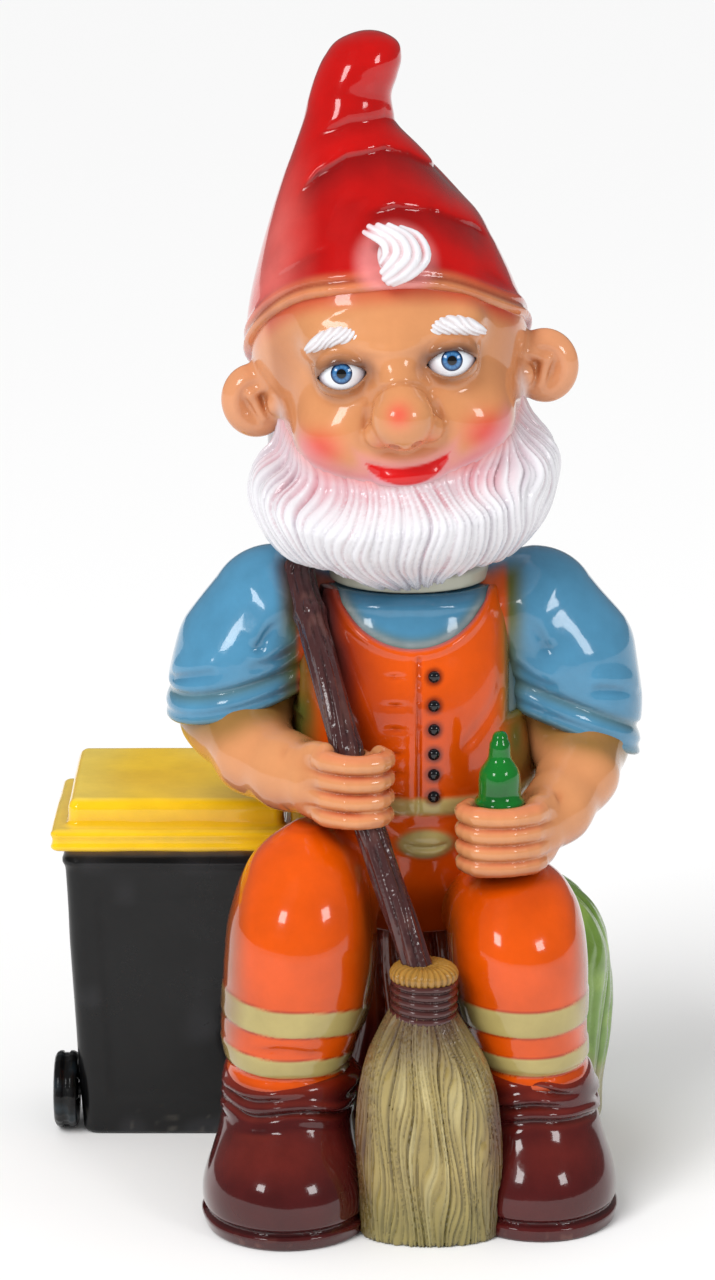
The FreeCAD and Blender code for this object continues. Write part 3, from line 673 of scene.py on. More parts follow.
def hair_colours(field):
    def colours(p, n):
        q = in_head(p)
        x, y, z = xyz(q)
        deep = hollowness(field, p, n, 2.2)
        front = fade(-y, -6, 8)
        edge = fade(beard_window(q), 17, 0) * front * (0.35 + 0.65 * fade(34 - np.abs(x), -8, 8))
        streak = fade(noise(at(hair_flow(q) * 3, y, z * 0.25), 6.0, 8), 0.15, 0.6)
        return mist(
            base(p, WHITE),
            (HAIR_SHADE, 0.8 * deep),
            (PINK, mottled(p, edge * (0.1 + 1.1 * deep))),
            (ROSE, mottled(p, 0.55 * front * fade(beard_window(q), 3, -3))),
            (PINK, 0.4 * deep * streak),
            # painted shade: the hair darkens towards its lower edge, where it turns under
            (WHITE * 0.6, 0.7 * fade(p[..., 2], 237, 230)),
        )
    return colours


def back_hair(p):
    q = in_head(p)
    form = shared(ellipsoid(p, (-6.5, 4, 282), (49.5, 46, 42)), 10 - p[..., 1], 4)
    u = hair_flow(q)
    locks = 1.5 * strands(u, 9.5) + 0.9 * strands(u + noise(q, 6.0, 2), 3.8)
    return shared(form - locks + 1.4, 241.5 - p[..., 2], 3)


HAT = [
    (262, -8, -2, 52, 51), (280, -8.4, -2, 53, 52), (302, -8.8, -2, 53.5, 52.5), (324, -10.6, -2, 52, 50),
    (344.5, -13.2, -1, 46, 45), (363, -15.6, 1, 38.2, 37), (376, -19, 3, 30.5, 30),
    (388, -22.4, 4.5, 22.3, 22),
    (397, -24.6, 5, 17, 17), (405, -24.8, 5, 15, 15), (413, -22.4, 5, 14.9, 14.6), (420, -20, 5, 14, 13.6),
    (426, -18.4, 5, 10.6, 10.4), (429.3, -17.6, 5, 6, 6),
]


def hat_edge(p):
    """Height above the hat's edge, which slopes down from the forehead to the nape."""
    q = in_head(p)
    x, y, z = xyz(q)
    lift = 3.0 * ridge(x + 34, 16) * fade(-y, 0, 20)
    lift = lift - 4.0 * ridge(x - 40, 17) * fade(-y, -6, 16)
    return (z - 18.5 + 0.56 * y - lift) * 0.87


# each fold's depth, whether it goes on to the hat's side, and places (x, z) along it, seen from the front
HAT_FOLDS = [
    (1.1, True, [(-43, 388), (-33, 393.5), (-25, 397), (-12, 398), (-6, 395)]),
    (2.3, True, [(-48, 368), (-44, 371), (-36, 379), (-26, 385), (-12, 387.5), (-3, 384.5), (8, 378),
                 (12, 375)]),
    (1.9, False, [(-24, 365.5), (-8.7, 368.7), (5.5, 366.6), (19.7, 359.8), (28, 353)]),
    (0.9, False, [(-33, 366.5), (-25, 370.5), (-17, 372)]),
    (0.9, False, [(-58, 336), (-50, 344), (-40, 351), (-30, 356)]),
    (0.8, False, [(16, 350), (27, 343), (38, 334)]),
]


def hat_folds(p):
    """How far the cloth is drawn in: a sharp lip above each fold, and a slow rise below it."""
    drawn = 0.0
    for depth, goes_on, places in HAT_FOLDS:
        x, z = np.array(places, float).T
        above = (p[..., 2] - np.interp(p[..., 0], x, z)) * 0.9
        share = np.where(above > 0, ridge(above, 1.9), ridge(above, 6.0))
        lip = 0.35 * ridge(above - 5.0, 3.4)
        starts = fade(p[..., 0], x[0] + 1, x[0] + 13) * fade(-p[..., 1], -14, -3)
        ends = 1 if goes_on else fade(p[..., 0], x[-1] + 1, x[-1] - 8)
        drawn = drawn + depth * (share - lip) * starts * ends
    return drawn


def hat(p):
    form = stacked(p, HAT, 5.0) + hat_folds(p)
    edge = hat_edge(p)
    form = form - 1.1 * ridge(edge - 1.6, 1.3) - 0.9 * ridge(edge - 6.2, 1.5)
    form = form - 0.5 * noise(p, 22.0, 4)
    return shared(form, -edge, 1.6)


def hat_colours(p, n):
    edge = hat_edge(p)
    left_side = fade(-p[..., 0] - 8, 26, 48) * fade(-p[..., 1], -20, 20)
    front = fade(-p[..., 1], -5, 12)
    curl = length((p - middle("forelock")) / (13.5, 20, 13))
    return mist(
        base(p, RED),
        # painted shade in the hat's hollows, and darker red in random patches
        (RED_SHADE, 0.9 * hollowness(hat, p, n, 4.0) + 0.25 * fade(noise(p, 30, 6), 0, 0.8)),
        # painted shade in and below each fold of the cloth
        (RED_SHADE, 0.3 * np.clip(hat_folds(p), 0, 3)),
        # painted sheen: pale pink down the hat's left side, strongest low down
        (HAT_SHEEN, mottled(p, 0.55 * left_side * fade(edge, 75, 30))),
        (SKIN, mottled(p, 0.75 * front * fade(edge, 9, 2))),
        # painted shade in the groove between the hat edge's two rolls
        (RED_SHADE, 0.6 * ridge(edge - 3.9, 1.0)),
        (HAT_PINK, 0.8 * fade(curl, 1.35, 0.8)),
    )


# strands that rise from the forehead, sweep over to the figure's right and curl at the tip: thickness and
# places along it
FORELOCK = [
    (1.9, [(-9.2, -47.5, 345.3), (-2.7, -48.0, 349.0), (2.1, -45.5, 354.5), (-0.5, -43.0, 361.0),
           (-6.6, -42.0, 364.2)]),
    (2.0, [(-10.9, -48.0, 345.8), (-5.3, -48.8, 349.5), (-1.3, -47.5, 355.0), (-4.0, -44.5, 361.0),
           (-10.9, -42.5, 365.1)]),
    (2.0, [(-12.2, -48.2, 347.2), (-8.3, -49.2, 350.9), (-4.6, -48.6, 355.5), (-7.0, -45.5, 361.0),
           (-14.7, -42.5, 365.1)]),
    (1.9, [(-13.0, -48.0, 349.5), (-10.3, -49.0, 352.7), (-8.1, -48.3, 356.4), (-10.4, -45.5, 360.5),
           (-17.8, -42.5, 364.7)]),
    (1.6, [(-13.4, -47.5, 352.7), (-11.7, -48.0, 355.9), (-13.0, -46.0, 359.6), (-19.5, -42.8, 362.8)]),
]


def forelock(p):
    form = ellipsoid(p, (-7.0, -43.2, 354.5), (8.0, 3.6, 8.4))
    for thickness, points in FORELOCK:
        far, where = to_line(p, curve(points, 16))
        taper = 0.5 + 0.75 * np.sin(math.pi * np.clip(0.12 + 0.8 * where, 0, 1))
        form = join(form, far - 0.86 * thickness * taper, 0.6)
    return form


def forelock_colours(p, n):
    return mist(
        base(p, WHITE),
        (LOCK_SHADE, 1.1 * hollowness(forelock, p, n, 1.8)),
        (PINK, 0.35 * fade(length((p - (-7, -46, 356)) / (14, 14, 13)), 0.75, 1.1)),
    )


def eyebrow(side):
    sign = -1 if side == "right" else 1
    drop, middle_x = (1.0, 18.0) if side == "right" else (2.0, 19.5)

    def field(p):
        q = in_head(p)
        x = q[..., 0] * sign
        bowed = at(x, q[..., 1], q[..., 2] + drop + 0.02 * (x - middle_x) ** 2)
        form = ellipsoid(bowed, (middle_x, -39.4, 27.6), (13.5, 4.2, 3.5))
        comb = strands(x * 0.75 + q[..., 2] * 0.85 + noise(q, 5.0, 1), 2.1)
        return form - 0.55 * comb
    return field


def eyebrow_colours(field):
    def colours(p, n):
        return mist(base(p, WHITE), (BROW_SHADE, 1.1 * hollowness(field, p, n, 1.6)))
    return colours


def eye_mesh(side):
    """A glass-like eye with its pole at the pupil, so that the iris's rings and rays are sharp."""
    sign = -1 if side == "right" else 1
    radius = 9.0
    angles = np.concatenate([np.linspace(0, 32, 72), np.linspace(33, 180, 60)]) * math.pi / 180
    cornea = 0.4 * ridge(angles, 0.42)
    profile = [((radius + c) * math.sin(a), (radius + c) * math.cos(a)) for a, c in zip(angles, cornea)]
    points, faces = lathe(profile, 96)
    off = np.degrees(np.arctan2(np.hypot(points[:, 0], points[:, 1]), points[:, 2]))
    turn = np.arctan2(points[:, 1], points[:, 0])
    rays = 0.5 + 0.5 * np.sin(turn * 23 + 2 * np.sin(turn * 7)) * np.sin(turn * 41 + 1.3)
    tint = mist(base(points, EYE_WHITE), (EYE_RIM, fade(off, 34, 60)))
    iris = base(points, IRIS)
    iris = mist(iris, (IRIS_RAY, 0.7 * rays * fade(off, 11, 15) * fade(off, 21, 16)))
    iris = mist(iris, (IRIS_EDGE, fade(off, 18.5, 24.0)))
    tint = np.where((off < 25.0)[:, None], iris, tint)
    tint = np.where((off < 10.4)[:, None], PUPIL, tint)
    gaze = np.array([0.02 * sign, -1.0, 0.10])
    gaze /= np.linalg.norm(gaze)
    right = np.cross((0, 0, 1), gaze)
    right /= np.linalg.norm(right)
    turned = points @ np.array([right, np.cross(gaze, right), gaze])
    return turned + EYES[side], faces, tint


# ---------------------------------------------------------------- torso
TORSO = [
    (100, 3, 11, 46, 43), (112, 3, 9, 47.5, 45), (125, 2, 6, 48, 47), (150, 0, 2, 46, 47),
    (180, -2, 0, 44, 44), (205, -3, -1, 42, 39), (220, -3, -2, 38.5, 34), (228, -3, -2, 34, 31),
]


def bib_edge(p):
    """Distance outside the overalls' outline: a round neck between two straps, and below the arms all
    round."""
    x, y, z = xyz(p)
    drop = 26.5 + 20.0 * fade(y, -10, 10)
    neckline = (np.hypot((x + 1.5) / 29.0, (z - 236.0) / drop) - 1) * 27.0
    return np.maximum(np.minimum(past_straps(x), z - 182.0), -neckline)


def torso(p):
    return stacked(p, TORSO, 2.0) - 0.4 * noise(p, 20.0, 7)


def with_collar(p, form):
    """The form with the round hollow that the neck's plug turns in."""
    return carve(form, upright(p, NECK, 22.3, 212, 240, 0.3), 0.6)


def past_straps(x):
    """How far out a place is beyond the outer edges of the bib and its straps."""
    return np.maximum(x - 34.0, -45.0 - x)


def shirt(p):
    form = torso(p) - 1.0 * ridge(p[..., 2] - 224.0, 2.2)
    form = creased(form, p, [
        (0.8, 2.0, [(-20, -36, 222), (-3, -38, 217), (16, -36, 222)]),
        (0.7, 1.6, [(18, -36, 217), (25, -31, 224), (28, -27, 228)]),
    ])
    return with_collar(p, form)


BELT_HEIGHT = 151.5


def overalls(p):
    x, y, z = xyz(p)
    edge = bib_edge(p)
    form = torso(p) - 1.3 - 0.8 * ridge(edge + 1.8, 1.4)
    front = fade(-y, 20, 30)
    bib = fade(z, 146, 152) * fade(z, 209, 205)
    form = form + 1.0 * front * bib * ridge(x - 0.4, 0.8)
    form = form - 0.5 * front * bib * ridge(x + 2.4, 1.4)
    for height in BUTTON_HEIGHTS:
        form = form + 0.9 * front * ridge(np.hypot((x + 8.0) / 3.0, (z - height) / 0.9), 1.0)
    form = form - 0.8 * front * np.exp(-((z - BELT_HEIGHT) / 3.0) ** 4) - 2.5 * front * belly_fold(p)
    form = form + 1.0 * front * ridge(z - 136.0 - 0.02 * (x - 3) ** 2, 0.9) * fade(np.abs(x - 3), 10, 5)
    form = creased(form, p, [
        (1.3, 2.0, [(-13, -46, 146), (0, -48, 143.5), (14, -46, 146)]),
        (1.2, 1.8, [(2, -46, 131), (2.5, -45, 120), (2, -42, 108)]),
        (0.9, 2.5, [(-40, -22, 196), (-34, -32, 186), (-22, -41, 178)]),
        (0.9, 2.5, [(34, -28, 196), (27, -36, 184), (16, -43, 172)]),
    ])
    return shared(shared(with_collar(p, form), edge, 1.2), z - 228.0, 0.8)


def belly_fold(p):
    """The crown of cloth under the belt, between the thighs."""
    return np.exp(-(((p[..., 0] - 3.0) / 10.0) ** 2 + ((p[..., 2] - 137.0) / 5.4) ** 2) ** 3)


def near_handle(p, reach):
    far, _ = to_line(p, curve(HANDLE, 16))
    return fade(far - 5.6, reach, 0)


def near_bottle(p, reach):
    return fade(np.hypot(p[..., 0] - BOTTLE[0], p[..., 1] - BOTTLE[1]) - 9, reach, 2)


def shirt_colours(p, n):
    rim = ridge(bib_edge(p) - 1.2, 1.4) * fade(-p[..., 1], 15, 28)
    return mist(
        base(p, BLUE),
        (BLUE_SHADE, 0.9 * hollowness(shirt, p, n, 3.0)),
        (OLIVE, mottled(p, 0.8 * fade(bib_edge(p), 6, 0))),
        (NECKLINE_GREY, mottled(p, 0.5 * rim, 3.0)),
        (BLUE_SHADE, 0.6 * fade(p[..., 2], 221, 228) + 0.7 * near_handle(p, 8)),
    )


def overalls_colours(p, n):
    edge = bib_edge(p)
    deep = hollowness(overalls, p, n, 3.0)
    rim = fade(edge, -4.0, 0.0)
    belt = np.exp(-((p[..., 2] - BELT_HEIGHT) / 3.4) ** 6)
    outward = np.abs(p[..., 0] + 3)
    tint = mist(
        base(p, ORANGE),
        (ORANGE_SHADE, 0.9 * deep + 0.25 * fade(noise(p, 25, 9), 0, 0.8)),
        (OLIVE, mottled(p, 0.75 * rim * fade(outward, 29, 34))),
        (BLUE, 0.35 * fade(edge, -1.2, 0.4) * fade(outward, 34, 29)),
        (OLIVE, mottled(p, 0.85 * fade(outward, 29, 40))),
        (SILVER, 0.95 * belt),
        (SILVER, np.clip(1.7 * belly_fold(p) * fade(-p[..., 1], 20, 30), 0, 0.95)),
        (ORANGE_SHADE, mottled(p, 0.95 * near_handle(p, 20))),
        (HANDLE_BROWN, mottled(p, 0.85 * near_handle(p, 8))),
        (ORANGE_SHADE, 0.8 * near_bottle(p, 16)),
    )
    for z in BUTTON_HEIGHTS:
        ring = np.hypot(p[..., 0] - BUTTON_X, p[..., 2] - z)
        beside = fade(-p[..., 1], 25, 35) * fade(ring, BUTTON_RADIUS + 2.2, BUTTON_RADIUS)
        tint = mist(tint, (ORANGE_SHADE * 0.5, 0.8 * beside))
    return mist(tint, (ORANGE_SHADE * 0.6, 0.7 * fade(p[..., 2], 126, 108)))


BUTTON_LOW, BUTTON_HIGH = node_box("bib_buttons")
BUTTON_DROPS = np.array([0.0, 10.5, 19.2, 28.3, 35.9, 44.3]) / 44.3    # down the bib, from the top button
BUTTON_RADIUS = (BUTTON_HIGH[0] - BUTTON_LOW[0]) / 2
BUTTON_RUN = BUTTON_HIGH[2] - BUTTON_LOW[2] - 2 * BUTTON_RADIUS
BUTTON_HEIGHTS = BUTTON_HIGH[2] - BUTTON_RADIUS - BUTTON_DROPS * BUTTON_RUN
BUTTON_X = (BUTTON_LOW[0] + BUTTON_HIGH[0]) / 2


def buttons_mesh():
    """Domed buttons, each standing on the bib."""
    r = BUTTON_RADIUS
    profile = [
        (0, -2.6), (r, -2.6), (r, 0.1), (0.93 * r, 0.6), (0.75 * r, 1.0), (0.5 * r, 1.3), (0.25 * r, 1.45),
        (0, 1.5)
    ]
    dome, faces = lathe(profile, 28)
    depth = np.linspace(-60, -30, 301)
    points, all_faces = [], []
    for count, z in enumerate(BUTTON_HEIGHTS):
        front = depth[np.argmin(np.abs(overalls(at(BUTTON_X, depth, z))))]
        points.append(at(dome[:, 0] + BUTTON_X, front - dome[:, 2], dome[:, 1] + z))
        all_faces += [tuple(i + count * len(dome) for i in face) for face in faces]
    return np.vstack(points), all_faces


# ---------------------------------------------------------------- arms
SLEEVE = {      # its middle line and radius from the neck to the cuff
    "right": [
        ((-37, 0, 214), 19), ((-53, 0, 214.3), 23), ((-63, 0, 198), 25.7), ((-67, -1, 184), 24.7),
        ((-69, -2, 170), 22.5)
    ],
    "left": [
        ((28, 0, 214), 19), ((43.5, 0, 214.3), 23), ((54.5, 0, 197), 26), ((58.3, -1, 180), 25.2),
        ((60, -2, 162), 23.3)
    ],
}
CUFF = {     # a point in the cuff's end, and the way the arm leaves it
    "right": (np.array([-71.0, 0.0, 181.0]), np.array([0.27, 0.10, -0.96])),
    "left": (np.array([60.5, 0.0, 167.7]), np.array([-0.37, -0.15, -0.92])),
}
SLEEVE_FOLDS = {    # places along each fold, its depth and its width
    "right": [
        ([(-46, -18, 222), (-54, -23, 214), (-60, -26, 203)], 1.5, 2.4),
        ([(-47, -12, 232), (-56, -16, 229), (-64, -18, 222)], 1.2, 2.2),
        ([(-44, -20, 206), (-52, -26, 201), (-62, -28, 199)], 1.2, 2.2),
        ([(-93, -6, 190), (-84, -20, 194), (-74, -27, 197)], 1.2, 2.0),
        ([(-50, 12, 232), (-62, 16, 226), (-70, 18, 216)], 1.2, 2.4),
    ],
    "left": [
        ([(36, -18, 222), (44, -23, 214), (49, -26, 203)], 1.3, 2.4),
        ([(38, -12, 232), (46, -16, 229), (53, -18, 222)], 1.2, 2.2),
        ([(34, -20, 200), (42, -26, 194), (52, -28, 191)], 1.3, 2.2),
        ([(83, -6, 184), (74, -20, 189), (64, -27, 191)], 1.2, 2.0),
        ([(38, 12, 232), (50, 16, 226), (58, 18, 216)], 1.2, 2.4),
    ],
}


def past_cuff(p, side):
    place, way = CUFF[side]
    return (p - place) @ (way / np.linalg.norm(way))


def sleeve(side):
    def field(p):
        out = past_cuff(p, side)
        form = chain(p, SLEEVE[side], 7.0)
        for points, depth, width in SLEEVE_FOLDS[side]:
            form = form + depth * welt(p, points, width)
            form = form - 0.7 * depth * welt(p, np.array(points, float) + (0, 0, 3.5), 1.8 * width, 8)
        form = form - 0.9 * noise(p, 24.0, 11)
        form = form + 1.5 * ridge(out + 11.0, 1.7) - 1.0 * ridge(out + 1.9, 1.5)
        form = form - 0.8 * ridge(out + 6.3, 1.8)
        return shared(form, out, 1.6)
    return field


def sleeve_colours(side, field):
    def colours(p, n):
        out = past_cuff(p, side)
        front = fade(-p[..., 1], 4, 16)
        past_strap = past_straps(p[..., 0])
        return mist(
            base(p, BLUE),
            (BLUE_SHADE, 0.9 * hollowness(field, p, n, 3.5)),
            (OLIVE, mottled(p, 0.9 * front * fade(past_strap, 8, 0))),
            (ORANGE, 0.9 * front * fade(past_strap, 0.5, -2.5)),
            (HANDLE_BROWN, mottled(p, 0.7 * near_handle(p, 7))),
            (OLIVE, mottled(p, 0.65 * fade(out, -4.5, 0.5))),
            (OLIVE, 0.4 * ridge(out + 10.5, 2.2)),
        )
    return colours


ARM = {     # the arm's middle line and radius from inside the sleeve to the wrist
    "right": [
        ((-65, -1, 189), 22.5), ((-67.5, -5, 177), 20.5), ((-60, -24, 166), 15.0), ((-48, -38, 163), 13.6),
        ((-38, -48, 162.5), 13)
    ],
    "left": [
        ((57, -1, 180), 22.5), ((61, -7, 167), 18.6), ((60, -25, 158.5), 14.2), ((51.5, -41, 149.5), 12.2),
        ((44, -50, 146), 11.5)
    ],
}
# middle and radii of the palm
PALM = {"right": ((-27, -54, 162.5), (12, 11, 14)), "left": ((32.5, -56, 145.5), (13, 11, 12.5))}
FINGER_HEIGHTS = {"right": (173.8, 166.8, 159.8, 153.0), "left": (154.3, 147.8, 141.4, 135.4)}
FINGER_PATH = {     # knuckle to fingertip, seen from above, round what the fist holds
    "right": [(-37, -52), (-34, -62), (-25, -68.5), (-15.5, -67), (-11.5, -60), (-14, -53.5)],
    "left": [(46, -53), (42.5, -63), (33, -69.5), (22, -69), (16.5, -62), (19, -55)],
}
THUMB = {
    "right": [(-42, -46, 170), (-38, -54, 174.5), (-34, -59, 176)],
    "left": [(47, -50, 152), (44, -57, 155.0), (41, -62, 154)],
}


def forearm(side):
    def field(p):
        form = chain(p, ARM[side], 5.0)
        low, high = FINGER_HEIGHTS[side][-1], FINGER_HEIGHTS[side][0] + 1.0
        inside = held(p, side) - (3.0 if side == "right" else 4.4)
        between = np.maximum(low - p[..., 2], p[..., 2] - high)
        hand = join(ellipsoid(p, *PALM[side]), shared(inside, between, 2.0), 2.0)
        for i, z in enumerate(FINGER_HEIGHTS[side]):
            far, where = to_line(p, curve([(x, y, z) for x, y in FINGER_PATH[side]], 14))
            knuckle = 0.5 * ridge(where - 0.22, 0.08) + 0.4 * ridge(where - 0.6, 0.07)
            hand = join(hand, far - (3.85 + knuckle - 0.5 * where - 0.12 * i), 0.8)
        far, where = to_line(p, curve(THUMB[side], 10))
        hand = join(hand, far - (5.0 - 1.2 * where), 1.6)
        form = join(form, hand, 5.0)
        wrist = np.array(ARM[side][3][0])
        crease = [wrist + (0, -10, 12), wrist + (-1, -14, 0), wrist + (0, -10, -12)]
        form = form + 0.8 * welt(p, crease, 1.5)
        form = shared(form, -past_cuff(p, side) - 6.0, 1.0)
        return carve(form, held(p, side), 0.8)
    return field


def held(p, side):
    """What the fist is closed round."""
    if side == "right":
        return to_line(p, curve(HANDLE, 24))[0] - 5.9
    return np.hypot(p[..., 0] - BOTTLE[0], p[..., 1] - BOTTLE[1]) - 7.3


def forearm_colours(side, field):
    def colours(p, n):
        deep = hollowness(field, p, n, 2.6)
        cuff = fade(past_cuff(p, side), 11, 0) * fade(length(p - CUFF[side][0]), 42, 30)
        below = PALM[side][0][2] - PALM[side][1][2]
        return mist(
            base(p, SKIN),
            (SKIN_SHADE, 1.0 * deep),
            (SKIN_SHADE, 0.4 * fade(-n[..., 2], 0.1, 0.9)),
            (ROSE, 0.25 * fade(-p[..., 1], 58, 68) * fade(n[..., 2], 0.0, 0.8)),
            (CUFF_BROWN, mottled(p, 0.85 * cuff)),
            (ORANGE_SHADE, mottled(p, 0.8 * fade(p[..., 2], below + 5, below - 3))),
        )
    return colours


# ---------------------------------------------------------------- legs and boots
LEG = {
    "right": [
        (49, -48, -58, 20.5, 23), (55, -47.6, -58, 22, 24.5), (60, -47.5, -58, 22.8, 25.5),
        (70, -46.5, -58, 25.5, 28),
        (85, -44, -58, 27.5, 30.5), (100, -43, -58, 28, 31.5), (115, -42.5, -57, 26.5, 30),
        (128, -41.5, -55, 22, 26),
        (138, -40.5, -52, 15.5, 19), (146, -40, -50, 6, 8),
    ],
    "left": [
        (48, 43.5, -55, 18.5, 21), (54, 43, -55, 20, 23), (59, 42.5, -55, 21, 24),
        (70, 40.3, -55, 22.8, 26.5),
        (84, 38.5, -55, 24.8, 29), (98, 37.2, -55, 25.6, 30), (110, 36.5, -54, 24.5, 28.5),
        (120, 36, -52, 21, 24),
        (128, 36, -50, 14, 17), (133, 36, -48, 5, 7),
    ],
}
# a rod from the knee to the hip: its ends and its radii there
THIGH = {
    "right": ((-40, -50, 121), (-24, -8, 118), 22, 25), "left": ((35, -46, 110), (23, -6, 112), 20, 24)
}
BANDS = {"right": (81.8, 63.4), "left": (80.2, 62.5)}       # heights of the reflective bands
BAND_SAG = {"right": (-2.0, 3.5), "left": (0.5, -1.0)}      # how much lower they run at a leg's two sides


def band_height(p, side):
    """Height along the leg, bent so that the bands wrap round it as sagging hoops."""
    across = (p[..., 0] - table(p[..., 2], LEG[side], 1)) / 26.0
    low, high = BAND_SAG[side]
    return p[..., 2] + low * np.minimum(across, 0) ** 2 + high * np.maximum(across, 0) ** 2


def bands(p, side):
    """1 on the two reflective bands."""
    height = band_height(p, side)
    upper, lower = BANDS[side]
    return np.maximum(np.exp(-((height - upper) / 5.2) ** 8), np.exp(-((height - lower) / 4.0) ** 8))


def trouser_leg(side):
    def field(p):
        form = join(stacked(p, LEG[side], 2.5), capsule(p, *THIGH[side]), 9.0)
        form = form - 0.45 * bands(p, side) - 0.5 * noise(p, 20.0, 13)
        hem = p[..., 2] - (54.0 + 1.0 * noise(p, 12.0, 3))
        form = form - 1.2 * ridge(hem, 2.0) + 1.0 * ridge(hem - 4.6, 1.4)
        x = LEG[side][3][1]
        return form + 0.9 * welt(p, [(x - 16, -78, 70.5), (x - 2, -86, 71.5), (x + 12, -82, 69)], 1.6)
    return field


def leg_colours(side, field):
    def colours(p, n):
        deep = hollowness(field, p, n, 3.0)
        on_band = bands(p, side)
        sides = fade(np.abs(p[..., 0] - table(p[..., 2], LEG[side], 1)), 17, 27)
        lid = fade(block(p, middle("bin_lid"), LID_HALF, 3), 9, 0)
        fist = ellipsoid(p, *PALM[side])
        return mist(
            base(p, ORANGE),
            (ORANGE_SHADE, 0.8 * deep + 0.25 * fade(noise(p, 25, 9), 0, 0.8)),
            (ORANGE_SHADE, 0.8 * ridge(on_band - 0.35, 0.22)),
            (SILVER, 0.96 * fade(on_band, 0.35, 0.75)),
            (TROUSER_BROWN, mottled(p, 0.75 * sides)),
            (HANDLE_BROWN, mottled(p, 0.65 * near_handle(p, 8))),
            (MAROON, mottled(p, 0.8 * fade(p[..., 2], 58, 51))),
            (YELLOW, 0.5 * lid),
            (ORANGE_SHADE, 0.6 * fade(fist, 12, 2)),
        )
    return colours


BOOT = {
    "right": [
        (0, -47, -62, 28, 33), (14, -47, -61, 28, 32), (28, -47, -59, 26.5, 29),
        (40, -46.8, -58, 25.5, 27.5), (50, -46.5, -57.5, 25.5, 27), (57, -46.5, -57, 24.5, 25.5)
    ],
    "left": [
        (0, 45, -58, 26.5, 31), (14, 45, -57, 26.5, 30), (28, 44, -56, 25, 27.5), (40, 43, -55, 24, 26),
        (50, 42.2, -54.5, 24, 26), (57, 41.5, -54, 23, 24.5)
    ],
}
# middle and radii of the toe cap
TOE = {"right": ((-49, -73, 13), (29.5, 30.5, 25.5)), "left": ((45.5, -65, 12), (26.5, 28.5, 24))}


# the seed of each fold's gaps, its height and its depth
SHAFT_FOLDS = ((31, 45.0, 2.2), (32, 50.5, 1.8), (33, 39.0, 1.6))


def boot(side):
    def field(p):
        form = join(stacked(p, BOOT[side], 3.0), ellipsoid(p, *TOE[side]), 10.0)
        z = p[..., 2]
        wobble = z + 3.4 * noise(p, 17.0, 5)
        for seed, height, depth in SHAFT_FOLDS:
            patchy = fade(noise(p, 21.0, seed), -0.35, 0.35)
            form = form + depth * patchy * ridge(wobble - height, 1.3)
            form = form - 0.7 * depth * patchy * ridge(wobble - height - 2.9, 1.7)
        form = form + 1.2 * ridge(z - 7.0, 1.1) - 1.3 * fade(z, 6.5, 4.5)
        x, y, _ = TOE[side][0]
        cap_edge = [(x - 24, y + 14, 30), (x - 12, y - 8, 37), (x + 4, y - 10, 38), (x + 20, y + 10, 30)]
        form = form + 0.9 * welt(p, cap_edge, 2.0)
        form = form - 0.4 * noise(p, 18.0, 15)
        return shared(form, FLOOR - z, 0.8)
    return field


def boot_colours(field):
    def colours(p, n):
        deep = hollowness(field, p, n, 3.0)
        worn = fade(noise(p, 3.0, 8), 0.45, 0.8) * fade(p[..., 2], 7, 1.5)
        return mist(
            base(p, MAROON),
            (MAROON_SHADE, 0.9 * deep + 0.3 * fade(noise(p, 20, 2), 0, 0.8)),
            # painted light: lighter maroon on surfaces that face up, above the sole
            (BOOT_TOP_HIGHLIGHT, 0.5 * fade(n[..., 2], 0.2, 0.95) * fade(p[..., 2], 10, 36)),
            (ORANGE_SHADE, mottled(p, 0.55 * fade(p[..., 2], 50, 57))),
            (LEATHER_WORN, 0.5 * worn),
        )
    return colours


# ---------------------------------------------------------------- seat
STUMP = [
    (0, 12, 28, 62, 46), (16, 12.5, 28, 61, 45), (40, 15, 28, 61.5, 44), (60, 15.5, 28, 61.5, 44),
    (80, 14.5, 28, 59.5, 43), (94, 11.5, 28, 54, 39), (104, 8, 28, 45, 31),
]


def bark_flow(p):
    around = np.arctan2(p[..., 1] - 28, p[..., 0] - 12) * 52.0
    return around + 3.5 * np.sin(p[..., 2] / 17.0 + around / 23.0) + 6.0 * noise(p, 26.0, 21)


def stump(p):
    form = stacked(p, STUMP, 9.0)
    u = bark_flow(p)
    lower = 1 - 0.5 * fade(p[..., 2], 88, 102)
    form = form + lower * (2.6 - 2.8 * strands(u, 15.0) - 0.8 * strands(u + noise(p, 8.0, 1), 5.0))
    form = form - 1.6 * ridge(p[..., 2] - 3.0, 7.0) * noise(p, 14.0, 6)
    hole = middle("fill_hole_stopper")
    form = carve(form, upright(p, hole, 16.0, -5, 2.0, 0.2), 0.2)
    form = carve(form, upright(p, hole, 12.3, -5, 22.0, 0.2), 0.2)
    return shared(form, FLOOR - p[..., 2], 0.8)


def stump_colours(p, n):
    x, y, z = xyz(p)
    deep = hollowness(stump, p, n, 4.0)
    lap = fade(-y, -4, 4) * fade(np.abs(x - 1), 34, 26)
    return mist(
        base(p, MOSS),
        (MOSS_SHADE, 1.1 * deep),
        (MOSS_LIGHT, 0.5 * fade(noise(p, 9, 3), 0.1, 0.7) * (1 - deep)),
        (STONE, mottled(p, 0.95 * fade(z + 5 * noise(p, 15, 2), 34, 22))),
        (STRAW_SHADE, 0.6 * deep * fade(z, 40, 20)),
        (ORANGE_SHADE * 0.8, 0.95 * lap + 0.55 * fade(torso(p), 8, 1)),
        (MAROON, 0.9 * lap * fade(z, 66, 50)),
    )


